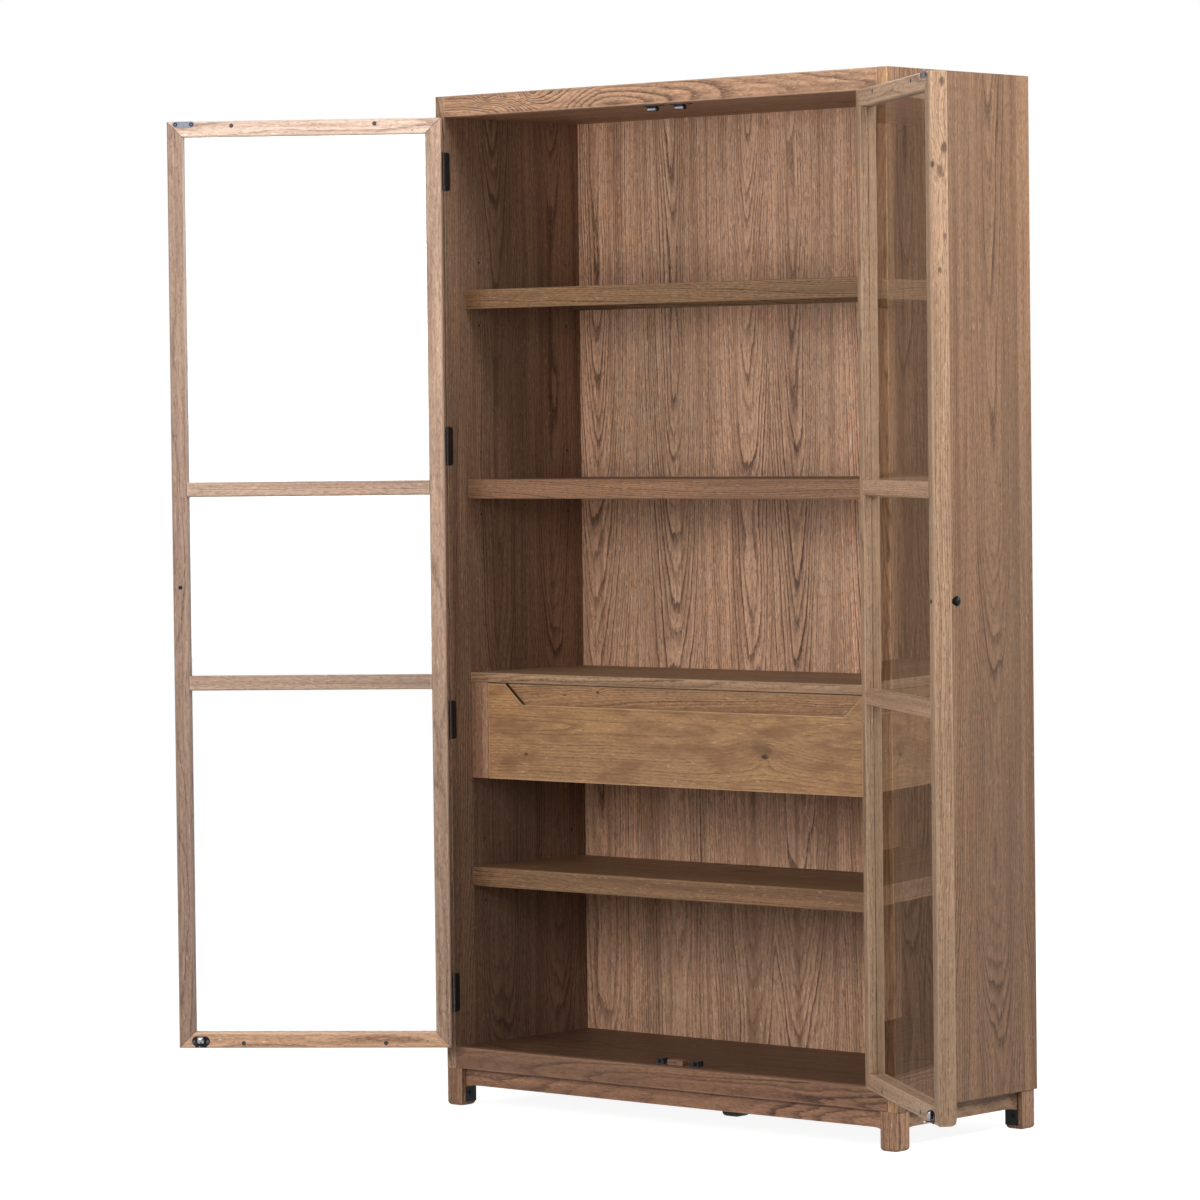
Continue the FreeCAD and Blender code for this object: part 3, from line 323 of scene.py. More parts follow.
@dataclass(frozen=True)
class Swing:
    """Where a door hangs and how far it stands open."""

    side: Side
    angle: float

    @property
    def name(self) -> str:
        """The door's name, which is also its body's."""
        return f"{self.side.name.lower()}_door"

    @property
    def turn(self) -> Matrix:
        """The turn about the hinge axis that opens the shut door.

        Returns:
            A rigid matrix.
        """
        axis = Vector((self.side.value * HINGE_AXIS[0], HINGE_AXIS[1], 0))
        spin = Matrix.Rotation(math.radians(self.angle) * self.side.value, 4, "Z")
        return Matrix.Translation(axis) @ spin @ Matrix.Translation(-axis)

    def opened(self, points: np.ndarray) -> np.ndarray:
        """Points of the shut door, moved to where the door stands."""
        return self._moved(points, self.turn)

    def shut(self, points: np.ndarray) -> np.ndarray:
        """Points of the open door, moved to where they are when it is shut."""
        return self._moved(points, self.turn.inverted())

    @staticmethod
    def _moved(points: np.ndarray, move: Matrix) -> np.ndarray:
        """Points after a rigid move."""
        matrix = np.array(move)
        return points @ matrix[:3, :3].T + matrix[:3, 3]


# ---- Finishes ----

class Axis(Enum):
    """A direction in the case, or in a shut door."""

    WIDE = (1.0, 0.0, 0.0)
    DEEP = (0.0, 1.0, 0.0)
    TALL = (0.0, 0.0, 1.0)


@dataclass(frozen=True)
class Knot:
    """A knot from the board's middle, through the board or, with a depth, at one place in it."""

    along: float
    across: float
    radius: float
    pull: float = 3.0
    dark: float = 0.85
    deep: float | None = None


@dataclass(frozen=True)
class Grip:
    """A grip cut into a board's long edge, with sloping ends: its arris lightened as wear and painted
    highlight, and painted shade on its end wall.

    Places are from the board's middle; the grip is on the side where "across" is negative.
    """

    half_width: float = 0.429
    lip: float = 0.0565
    slope: tuple[float, float] = (0.755, 0.655)
    front: float = 0.005
    # dark and strength: the colour and share of the painted shade on the end wall; edge: the arris's width
    dark: Triple = srgb(44, 28, 18)
    edge: float = 0.0012
    strength: float = 0.92

    def paint(self, graph: Graph, place: Wire, ground: Wire) -> Wire:
        """The board's colour with the grip in it: its arris lightened, and painted shade on its end wall.

        The distance outside the grip is the larger of the distance below its lip and the distance past the
        line of its sloping end.

        Args:
            graph: the board's graph.
            place: (along, across, through) from the board's middle.
            ground: the board's colour without the grip.

        Returns:
            The new colour.
        """
        along, across, deep = graph.split(place)
        below = across + self.lip
        past = (abs(along) - self.half_width) * self.slope[1] + below * self.slope[0]
        arris = below.high(past).rise(2 * self.edge, self.edge)
        # painted shade on the grip's left end wall, behind the face's front
        end = (deep + self.front).rise(0.0002, 0.0006) * (along + self.half_width).rise(0.002, 0.0)
        # The arris takes the lighter worn tone (also painted highlight), then the painted shade goes over the
        # end wall.
        return graph.blend(arris * end * self.strength, graph.blend(arris * 0.5, ground, WORN_AND_HIGHLIT_OAK), self.dark)


@dataclass(frozen=True)
class Board:
    """One piece of oak as it was cut from the tree."""

    node: str
    grain: Axis
    face: Axis
    seed: int
    # the board's tone, times painted light and shade matched to where the board stands
    tint: Triple = (1.0, 1.0, 1.0)
    leaf: float = 0.0
    pith_depth: float = 0.07
    slope: float = 0.03
    ring: float = 0.0036
    warmth: float = 0.5
    contrast: float = 1.0
    pale: float = 0.0
    cloudy: float = 0.0
    # how much the edges are lightened: brushed wear together with painted highlight along the arrises
    wear_and_highlight: float = 0.4
    # a factor on the side faces' colour: painted shade below 1, painted light above 1
    painted_flank_light: float = 1.0
    swing: Swing | None = None
    mitred: bool = False
    # whether the edges get that lightening of wear and painted highlight
    worn_and_highlit: bool = True
    knots: tuple[Knot, ...] = ()
    grip: Grip | None = None

    @property
    def across_index(self) -> int:
        """Which of X, Y and Z runs across the face."""
        axes = list(Axis)
        return 3 - axes.index(self.grain) - axes.index(self.face)


@dataclass(frozen=True)
class Oak:
    """Light oak, wire-brushed and smoked, under a matt lacquer."""

    rosy: Triple = srgb(184, 149, 125)
    tan: Triple = srgb(176, 140, 104)
    shade: Triple = srgb(138, 103, 79)
    line: Triple = srgb(104, 76, 59)
    pore: Triple = srgb(84, 62, 49)
    grey: Triple = srgb(150, 129, 108)
    knot: Triple = srgb(78, 52, 36)
    bleached: Triple = srgb(186, 163, 145)
    ray: Triple = srgb(212, 184, 156)
    ring_stops: tuple[tuple[float, float], ...] = ((0.0, 0.35), (0.06, 1.0), (0.2, 0.85), (0.45, 0.28),
                                                   (0.8, 0.0), (1.0, 0.16))

    def dress(self, board: Board) -> bpy.types.Material:
        """The material of one board.

        Growth rings are shells about a pith that lies behind the face and slopes past it: the distance
        from a point to the pith, over the ring's width, counts the rings, and its fraction is the place
        within one ring. Where the slope brings the shells through the face they make cathedral figure.

        Args:
            board: how the piece was cut.

        Returns:
            The finished material.
        """
        material, graph, shader = new_material(f"oak_{board.node}")
        centre, half = self._extent(board)
        place = graph.place(self._cut(board, centre))
        luck = np.random.default_rng(board.seed)
        shift = tuple(float(value) for value in luck.uniform(3, 40, 3))
        spot = graph.vector("ADD", place, shift)
        along, across, deep = graph.split(place)

        wide, leaf_tone, leaf_shift = self._leaves(graph, board, across, luck)
        streamed = graph.vector("ADD", spot, graph.join(leaf_shift, leaf_shift, 0.0))
        count = self._rings(graph, board, streamed, along, wide, deep, luck)
        eye, pull = self._knots(graph, board, along, across, deep)
        if pull is not None:
            count = count + pull
        late = graph.ramp(count % 1.0, self.ring_stops)
        late = late * (graph.lot(count.floor(), "Value").rise(0.0, 0.9) * 0.85 + 0.35)
        patches = graph.noise(streamed, (1.3, 9.0, 9.0), 3.0)
        pepper = graph.noise(spot, (80.0, 280.0, 280.0), 2.0, 0.65)
        strength = (patches.rise(0.25, 0.7) * 0.7 + 0.3) * (pepper * 1.5 + 0.2)
        figure = late * strength * (0.95 * board.contrast)
        streaks = graph.noise(streamed, (3.0, 150.0, 150.0), 3.0, 0.6)
        pores = graph.noise(spot, (38.0, 900.0, 900.0), 2.0, 0.6).rise(0.53, 0.68)
        open_pores = pores * (late * 0.65 + 0.35)

        ground = self._ground(graph, board, spot, streamed, streaks, pepper, figure, open_pores)
        if eye is not None:
            ground = graph.blend(eye, ground, self.knot)
        ground = self._crisp(graph, ground)
        # Edges lightened: brushed wear, partly painted highlight on the arrises.
        if board.worn_and_highlit:
            ground = self._wear_and_highlight(graph, place, half, board, streaks, ground)
        if board.grip:
            ground = board.grip.paint(graph, place, ground)
        if board.mitred:
            ground = graph.blend(self._mitre(graph, board.swing) * 0.8, ground, self.pore)
        # Painted light on the side faces: their colour times the side-face factor, which is painted shade
        # where it is below 1.
        if board.painted_flank_light != 1.0:
            outer = (float(half[board.across_index]) - abs(across)).rise(0.0012, 0.0003)
            leaf_tone = leaf_tone * (1.0 - outer * (1.0 - board.painted_flank_light))
        # The tint lays on the board's tone together with its painted light and shade.
        ground = graph.vector("MULTIPLY", ground, graph.join(*(leaf_tone * part for part in board.tint)))

        height = 0.5 - open_pores * 0.6 - figure * 0.25 + streaks * 0.3
        feed(graph, shader, Base_Color=ground, Roughness=open_pores * 0.2 + 0.52,
             Normal=graph.bump(height, 0.00035, 0.7), IOR=1.45, Specular_IOR_Level=0.35)
        return material

    def _ground(self, graph: Graph, board: Board, spot: Wire, streamed: Wire, streaks: Wire, pepper: Wire,
                figure: Wire, open_pores: Wire) -> Wire:
        """Lays the wood's tones over each other, from the broad ones to the fine.

        Args:
            graph: the material's graph.
            board: how the piece was cut.
            spot: the place on the board, with the board's own shift into the noise.
            streamed: the same with its leaf's shift.
            streaks: fine streaks along the grain.
            pepper: short dark strokes.
            figure: the late wood of the rings.
            open_pores: the pores that the brush opened.

        Returns:
            The colour.
        """
        clouds = graph.noise(spot, (1.1, 4.5, 4.5), 2.0)
        bands = graph.noise(streamed, (0.8, 34.0, 34.0), 2.0, 0.6)
        flecks = graph.noise(spot, (60.0, 300.0, 300.0), 1.0)
        layers = [(clouds.rise(0.35, 0.75) * 0.45, self.grey),
                  (bands.rise(0.42, 0.75) * (0.5 * board.contrast), self.shade),
                  (streaks.rise(0.35, 0.8) * (0.5 - 0.4 * board.cloudy), self.shade),
                  (pepper.rise(0.48, 0.68) * (0.2 + 0.3 * board.contrast), self.shade),
                  (figure * 0.85, self.line),
                  (open_pores * 0.5, self.pore),
                  (flecks.rise(0.62, 0.78) * 0.3, self.ray)]
        if board.cloudy:
            haze = graph.noise(spot, (9.0, 34.0, 34.0), 3.0, 0.6)
            layers.append((haze.rise(0.38, 0.72) * (0.75 * board.cloudy), self.shade))
        ground = graph.blend(board.warmth, graph.blend(board.pale, self.rosy, self.bleached), self.tan)
        for share, colour in layers:
            ground = graph.blend(share, ground, colour)
        return ground

    @staticmethod
    def _crisp(graph: Graph, ground: Wire, middle: float = 0.2, power: float = 0.6) -> Wire:
        """Spreads tones about a middle one and keeps their hue: colour * (its grey / middle) ^ power."""
        grey = graph.wire("ShaderNodeRGBToBW", None, {0: ground})
        return graph.vector("MULTIPLY", ground, graph.grey((grey / middle) ** power))

    @staticmethod
    def _extent(board: Board) -> tuple[np.ndarray, np.ndarray]:
        """Measures a board's box, with its door shut.

        Args:
            board: the board, whose node gives the mesh.

        Returns:
            The box's middle and its half sizes.
        """
        mesh = frame["nodes"][board.node].data
        flat = np.empty(len(mesh.vertices) * 3, np.float32)
        mesh.vertices.foreach_get("co", flat)
        points = flat.reshape(-1, 3).astype(float)
        if board.swing:
            points = board.swing.shut(points)
        low, high = points.min(0), points.max(0)
        return (low + high) / 2, (high - low) / 2

    @staticmethod
    def _cut(board: Board, centre: np.ndarray) -> Matrix:
        """The move that turns Object coordinates into the board's own.

        Args:
            board: how the piece was cut.
            centre: its middle, with its door shut.

        Returns:
            The rigid matrix, to (along, across, through) from the middle.
        """
        grain, through = Vector(board.grain.value), Vector(board.face.value)
        axes = Matrix((grain, through.cross(grain), through)).to_4x4()
        whole = axes @ Matrix.Translation(-Vector(centre))
        return whole @ board.swing.turn.inverted() if board.swing else whole

    @staticmethod
    def _leaves(graph: Graph, board: Board, across: Wire,
                luck: np.random.Generator) -> tuple[Wire, Wire | float, Wire | float]:
        """Splits a veneered face into leaves with a figure of their own.

        Args:
            graph: the material's graph.
            board: how the piece was cut.
            across: the place across the face.
            luck: the board's own random numbers.

        Returns:
            The place across one leaf, the leaf's tone, and its shift into the noise.
        """
        if not board.leaf:
            return across + float(luck.uniform(-0.02, 0.02)), 1.0, 0.0
        start = float(luck.uniform(0, 1))
        scaled = across / board.leaf + start
        column = scaled.floor()
        within = scaled % 1.0
        red, green, blue = graph.split(graph.lot(column + float(board.seed), "Color"))
        wide = (within - 0.5 + (red - 0.5) * 0.5) * board.leaf
        seam = ((0.5 - abs(within - 0.5)) * board.leaf).rise(0.0011, 0.0002)
        return wide, (blue * 0.26 + 0.87) * (1.0 - seam * 0.16), green * 17.0

    @staticmethod
    def _rings(graph: Graph, board: Board, spot: Wire, along: Wire, wide: Wire, deep: Wire,
               luck: np.random.Generator) -> Wire:
        """Counts the rings: the distance to a wandering pith over the ring's width.

        Args:
            graph: the material's graph.
            board: how the piece was cut.
            spot: the place in the noise.
            along: the place along the grain.
            wide: the place across one leaf.
            deep: the place through the board.
            luck: the board's own random numbers.

        Returns:
            How many rings lie between the pith and the point.
        """
        wander = graph.noise(spot, (1.4, 0.0, 0.0), 1.0) - 0.5
        bend = graph.noise(spot, (2.2, 14.0, 14.0), 2.0) - 0.5
        fray = graph.noise(spot, (26.0, 190.0, 190.0), 2.0) - 0.5
        slope = board.slope * (1 if luck.uniform() > 0.5 else -1)
        depth = deep + board.pith_depth + along * slope + wander * 0.05
        sideways = wide + wander * 0.03
        radius = graph.math("SQRT", sideways * sideways + depth * depth)
        return (radius + bend * 0.02 + fray * 0.0016) / board.ring

    @staticmethod
    def _knots(graph: Graph, board: Board, along: Wire, across: Wire,
               deep: Wire) -> tuple[Wire | None, Wire | None]:
        """Dark eyes, and how far the rings bend round them.

        Each knot is a bell curve of the squared distance to its middle, longer along the grain.

        Args:
            graph: the material's graph.
            board: how the piece was cut, with its knots.
            along: the place along the grain.
            across: the place across the face.
            deep: the place through the board.

        Returns:
            How much of the knots' colour shows, and what the knots add to the count of rings; None without
            knots.
        """
        eye, pull = None, None
        if board.knots:
            ragged = graph.noise(graph.join(along, across, deep), (90.0, 260.0, 260.0), 2.0, 0.6) * 3.0 - 0.5
        for knot in board.knots:
            run = (along - knot.along) / (1.7 * knot.radius)
            side = (across - knot.across) / knot.radius
            apart = run * run + side * side
            if knot.deep is not None:
                through = (deep - knot.deep) / knot.radius
                apart = apart + through * through
            bell = graph.math("EXPONENT", apart * ragged * -1.0)
            wide_bell = graph.math("EXPONENT", apart * -0.12)
            mark = bell.rise(0.3, 0.95) * knot.dark
            turn = wide_bell * knot.pull
            eye = mark if eye is None else eye.high(mark)
            pull = turn if pull is None else pull + turn
        return eye, pull

    @staticmethod
    def _wear_and_highlight(graph: Graph, place: Wire, half: np.ndarray, board: Board, streaks: Wire,
              ground: Wire) -> Wire:
        """Lightens a board's edges, where the brush took off the stain, and as painted highlight along the
        arrises.

        On a face, one distance to the box's sides is nil; the middle one of the three is the distance to
        the nearest edge, and the lightening fades as it grows.

        Args:
            graph: the material's graph.
            place: (along, across, through) from the board's middle.
            half: the board's half sizes along X, Y and Z.
            board: how the piece was cut.
            streaks: fine streaks, which make the wear ragged.
            ground: the board's colour.

        Returns:
            The new colour.
        """
        axes = list(Axis)
        reach = [half[axes.index(board.grain)], half[board.across_index], half[axes.index(board.face)]]
        near = [float(size) - abs(part) for size, part in zip(reach, graph.split(place))]
        middle = near[0].low(near[1]).high(near[0].high(near[1]).low(near[2]))
        share = (middle + (streaks - 0.5) * 0.003).rise(0.0042, 0.0006) * board.wear_and_highlight
        return graph.blend(share, ground, WORN_AND_HIGHLIT_OAK)

    @staticmethod
    def _mitre(graph: Graph, swing: Swing) -> Wire:
        """A thin dark line where stile and rail meet at 45 degrees.

        On that line the distances to the door's side and to its end are equal.

        Args:
            graph: the material's graph.
            swing: the door.

        Returns:
            1 on the line, else 0.
        """
        half_width, half_thick, half_height = DOOR.width / 2, DOOR.thick / 2, DOOR.height / 2
        middle = Vector((swing.side.value * (DOOR.hinge_edge - half_width), DOOR.front + half_thick,
                         DOOR.low + half_height))
        x, _, z = graph.split(graph.place(Matrix.Translation(-middle) @ swing.turn.inverted()))
        return abs((half_width - abs(x)) - (half_height - abs(z))).rise(0.0011, 0.0003)


@dataclass(frozen=True)
class ClearGlass:
    """Float glass with a trace of green, which darkens along a slanting path."""

    tint: Triple = (0.985, 0.993, 0.988)
    slanting: Triple = (0.45, 0.455, 0.44)
    ior: float = 1.5

    def dress(self) -> bpy.types.Material:
        """The panes' look: clear, a little wavy, darker where they are seen at a slant.

        Returns:
            The finished material.
        """
        material, graph, shader = new_material("clear_glass_pane")
        roll = graph.noise(graph.place(), (2.0, 2.0, 3.5), 1.0)
        slant = graph.wire("ShaderNodeLayerWeight", None, {"Blend": 0.5}, "Facing").rise(0.5, 0.8)
        feed(graph, shader, Base_Color=graph.blend(slant, self.tint, self.slanting), Roughness=0.0,
             IOR=self.ior, Transmission_Weight=1.0, Normal=graph.bump(roll, 0.0008, 0.1))
        return material


@dataclass(frozen=True)
class Metal:
    """A plated or lacquered steel."""

    name: str
    colour: Triple
    roughness: float
    metallic: float = 1.0
    coat: float = 0.0
    grain: float = 0.15
    shine: float = 0.5

    def _rubbed(self, graph: Graph, spot: Wire) -> Wire | None:
        """Where hands have rubbed the finish to a shine, if anywhere."""
        return None

    def dress(self) -> bpy.types.Material:
        """The metal's look: faint mottling in colour and gloss, and fine rolling marks.

        Returns:
            The finished material.
        """
        material, graph, shader = new_material(self.name)
        spot = graph.place()
        mottle = graph.noise(spot, (140.0, 140.0, 140.0), 3.0)
        marks = graph.noise(spot, (1500.0, 1500.0, 300.0), 2.0)
        dark = tuple(value * 0.72 for value in self.colour)
        colour = graph.blend(mottle.rise(0.3, 0.75), dark, self.colour)
        rubbed = self._rubbed(graph, spot)
        rough = mottle * self.grain + self.roughness
        feed(graph, shader, Base_Color=colour, Metallic=self.metallic, Specular_IOR_Level=self.shine,
             Roughness=rough if rubbed is None else rough * (1.0 - rubbed * 0.7),
             Coat_Weight=self.coat if rubbed is None else rubbed, Coat_Roughness=0.08,
             Normal=graph.bump(marks, 0.00002, 0.4))
        return material


@dataclass(frozen=True)
class KnuckleLacquer(Metal):
    """Lacquer that is rubbed to a shine on the knuckles of the hinges."""

    barrel: float = 0.0042

    def _rubbed(self, graph: Graph, spot: Wire) -> Wire | None:
        """Finds the knuckles, where the distance to the hinge axis is less than the barrel's radius.

        Args:
            graph: the material's graph.
            spot: Object coordinates.

        Returns:
            1 on a knuckle, else 0.
        """
        x, y, _ = graph.split(spot)
        aside, ahead = abs(x) - HINGE_AXIS[0], y - HINGE_AXIS[1]
        return graph.math("SQRT", aside * aside + ahead * ahead).rise(self.barrel + 0.0002, self.barrel)


@dataclass(frozen=True)
class Moulded:
    """Moulded plastic or rubber with a fine spark-eroded texture."""

    name: str
    colour: Triple
    roughness: float

    def dress(self) -> bpy.types.Material:
        """The moulding's look: cloudy in tone and gloss, and finely stippled.

        Returns:
            The finished material.
        """
        material, graph, shader = new_material(self.name)
        spot = graph.place()
        stipple = graph.noise(spot, (1800.0, 1800.0, 1800.0), 2.0)
        cloud = graph.noise(spot, (60.0, 60.0, 60.0), 2.0)
        lighter = tuple(value * 1.6 + 0.004 for value in self.colour)
        feed(graph, shader, Base_Color=graph.blend(cloud.rise(0.35, 0.8), self.colour, lighter),
             Roughness=cloud * 0.15 + self.roughness, Normal=graph.bump(stipple, 0.00004, 0.5))
        return material


class Finishes:
    """Every finish of the bookcase that isn't a board's own."""

    def __init__(self) -> None:
        """Makes the materials; the oak makes one for each board later."""
        self.oak = Oak()
        self.glass = ClearGlass().dress()
        self.black_steel = Metal("black_lacquered_steel", (0.009, 0.009, 0.011), 0.3, 0.0, shine=0.2).dress()
        self.hinge_steel = KnuckleLacquer("rubbed_lacquered_steel", (0.009, 0.009, 0.011), 0.26, 0.0,
                                          shine=0.3).dress()
        self.polished_black = Metal("polished_black_steel", (0.012, 0.012, 0.014), 0.14, 0.0, 1.0,
                                    0.08).dress()
        self.bright_steel = Metal("bright_zinc_steel", (0.62, 0.62, 0.63), 0.26).dress()
        self.blued_steel = Metal("blued_steel", (0.165, 0.175, 0.20), 0.38, 0.75).dress()
        self.chrome = Metal("chromed_steel", (0.36, 0.35, 0.38), 0.14).dress()
        self.plastic = Moulded("black_moulding", (0.014, 0.014, 0.016), 0.36).dress()
        self.rubber = Moulded("foot_rubber", (0.018, 0.017, 0.016), 0.6).dress()

    @staticmethod
    def coat(material: bpy.types.Material, *nodes: str) -> None:
        """Gives CAD nodes a material.

        Args:
            material: the finish.
            nodes: the nodes' names.
        """
        for node in nodes:
            materials = frame["nodes"][node].data.materials
            materials.clear()
            materials.append(material)
            LOG.info("%s in %s", node, material.name)


# ---- Case, shelves, drawer and doors: boards ----

@dataclass(frozen=True)
class Joinery:
    """Dresses a list of boards."""

    boards: tuple[Board, ...]

    def dress(self, finishes: Finishes) -> None:
        """Gives each board its own cut of oak."""
        for board in self.boards:
            finishes.coat(finishes.oak.dress(board), board.node)


def case_boards() -> tuple[Board, ...]:
    """The case and what is fixed in it.

    Returns:
        The boards, each with its own cut, its tint (its tone with painted light and shade for its place), and
        its edge wear with painted highlight.
    """
    wide, deep, tall = Axis.WIDE, Axis.DEEP, Axis.TALL
    # Each tint holds painted light and shade with the tone: painted shade on the base board, painted light on
    # the right front post.
    return (
        Board("side_panel_left", tall, wide, 11, (0.64, 0.62, 0.64), leaf=0.15, warmth=0.6, worn_and_highlit=False),
        Board("side_panel_right", tall, wide, 12, (0.63, 0.58, 0.54), leaf=0.15, warmth=0.45, worn_and_highlit=False),
        Board("back_panel", tall, deep, 13, (1.50, 1.44, 1.40), leaf=0.185, ring=0.0046, slope=0.045,
              warmth=0.1, contrast=1.2, worn_and_highlit=False),
        # The front posts' side faces are darkened as painted shade.
        Board("front_post_left", tall, deep, 14, (1.12, 1.13, 1.15), wear_and_highlight=0.1, painted_flank_light=0.55),
        Board("front_post_right", tall, deep, 15, (1.35, 1.25, 1.06), wear_and_highlight=0.1, painted_flank_light=0.5),
        Board("top_board", wide, tall, 16, (0.9, 0.8, 0.75), leaf=0.2),
        Board("base_board", wide, tall, 17, (0.33, 0.27, 0.245), leaf=0.2),
        Board("top_rail", wide, deep, 18, (1.33, 1.27, 1.25), ring=0.0055, slope=0.06, pith_depth=0.05,
              contrast=1.2,
              knots=(Knot(-0.457, -0.010, 0.0055, 3.0, 0.3), Knot(-0.402, -0.012, 0.0045, 3.0, 0.3),
                     Knot(-0.335, -0.016, 0.007, 3.5, 0.15), Knot(-0.29, 0.006, 0.021, 9.0, 0.0))),
        Board("base_rail", wide, deep, 19, (0.70, 0.585, 0.55)),
        Board("legs", tall, deep, 20, (0.95, 0.87, 0.83), worn_and_highlit=False),
        Board("long_aprons", wide, deep, 21, (0.9, 0.78, 0.75), worn_and_highlit=False),
        Board("side_aprons", deep, wide, 22, (0.75, 0.72, 0.7), worn_and_highlit=False),
        Board("centre_bearer", deep, tall, 23, (0.8, 0.75, 0.7)),
        Board("stop_block", wide, deep, 24, (0.62, 0.5, 0.52)),
        Board("drawer_unit_top", wide, tall, 25, (0.90, 0.88, 0.80), warmth=0.35),
        Board("drawer_unit_posts", tall, deep, 26, (1.0, 0.9, 0.85), warmth=0.2, worn_and_highlit=False),
        Board("drawer_unit_sides", deep, wide, 27, (0.85, 0.8, 0.8), worn_and_highlit=False),
        Board("drawer_unit_base", wide, tall, 28, (0.85, 0.8, 0.8)),
    )


def shelf_boards() -> tuple[Board, ...]:
    """The three loose shelves."""
    tints = {"upper": (0.61, 0.54, 0.43), "middle": (0.73, 0.615, 0.55), "lower": (0.65, 0.57, 0.47)}
    return tuple(Board(f"shelf_{name}", Axis.WIDE, Axis.TALL, seed, tint, warmth=0.75, leaf=0.12)
                 for seed, (name, tint) in enumerate(tints.items(), 31))


def drawer_boards() -> tuple[Board, ...]:
    """The drawer's wood.

    Returns:
        The boards; the face has the grip.
    """
    wide, deep, tall = Axis.WIDE, Axis.DEEP, Axis.TALL
    return (
        Board("drawer_face", wide, deep, 41, (1.03, 0.92, 0.74), ring=0.0065, pith_depth=0.02, slope=0.012,
              warmth=1.0, contrast=0.4, cloudy=1.0, grip=Grip(),
              knots=(Knot(0.2241, 0.0286, 0.0065, 3.0), Knot(0.2173, 0.012, 0.021, 3.0, 0.3),
                     Knot(-0.4205, 0.0453, 0.004, 1.5, 0.7), Knot(-0.47, 0.07, 0.024, 0.5, 0.25))),
        Board("drawer_backing", wide, deep, 42, (0.91, 0.82, 0.70), warmth=0.9, cloudy=0.5,
              knots=(Knot(-0.229, -0.0874, 0.0035, 1.5, 0.7), Knot(-0.319, -0.08, 0.003, 1.0, 0.5))),
        Board("drawer_sides", deep, wide, 43, worn_and_highlit=False),
        Board("drawer_back", wide, deep, 44),
        Board("drawer_base", wide, tall, 45),
    )


def door_boards(swing: Swing) -> tuple[Board, ...]:
    """One door's frame: each member with its tint, which holds painted light and shade with the tone, and
    with the knots of that door.

    Args:
        swing: the door.

    Returns:
        The members, of which the mid rails alone aren't mitred.
    """
    if swing.side is Side.LEFT:
        seed, painted_flank_light = 51, 1.0
        # The left door's top rail gets a pale bluish tint as a painted sheen; the other tints hold painted
        # light and shade too.
        tints = ((1.02, 1.02, 1.07), (0.77, 0.77, 0.83), (1.6, 1.78, 2.08), (1.69, 1.56, 1.48),
                 (1.0, 1.03, 1.12))
        knots = {"top_rail": (Knot(-0.227, 0.0088, 0.0015, 0.3),),
                 "bottom_rail": (Knot(0.2087, -0.0007, 0.0014, 0.3), Knot(0.171, 0.0035, 0.0014, 0.3),
                                 Knot(-0.2365, 0.002, 0.0014, 0.3))}
    else:
        # The right door's free stile gets painted light on its edge faces.
        seed, painted_flank_light, edge = 71, 1.15, -0.016
        # These tints hold painted light and shade together with the tone.
        tints = ((0.81, 0.775, 0.70), (0.68, 0.655, 0.605), (1.08, 1.07, 1.04), (0.92, 0.87, 0.82),
                 (0.92, 0.87, 0.82))
        knots = {"top_rail": (Knot(-0.0143, -0.0041, 0.0015, 0.3),),
                 "free_stile": (Knot(0.9433, edge, 0.0065, 1.5, 0.55, -0.0071),
                                Knot(0.8225, edge, 0.0085, 2.5, 0.6, -0.01),
                                Knot(0.7935, edge, 0.0055, 1.5, 0.8, 0.0125),
                                Knot(0.7826, edge, 0.0085, 2.0, 0.5, -0.0021),
                                Knot(0.6627, edge, 0.0055, 1.5, 0.5, -0.0103),
                                Knot(0.6017, edge, 0.0045, 1.0, 0.6, -0.0003))}
    grains = {"hinge_stile": Axis.TALL, "free_stile": Axis.TALL, "top_rail": Axis.WIDE,
              "bottom_rail": Axis.WIDE, "mid_rails": Axis.WIDE}
    return tuple(
        Board(f"{swing.name}_{part}", grain, Axis.DEEP, seed + number, tint, pith_depth=0.05, slope=0.012,
              warmth=0.3, contrast=0.6, pale=0.5, wear_and_highlight=0.55, painted_flank_light=painted_flank_light if part == "free_stile" else 1.0,
              swing=swing, mitred=part != "mid_rails", knots=knots.get(part, ()))
        for number, ((part, grain), tint) in enumerate(zip(grains.items(), tints)))


# ---- Meshes ----

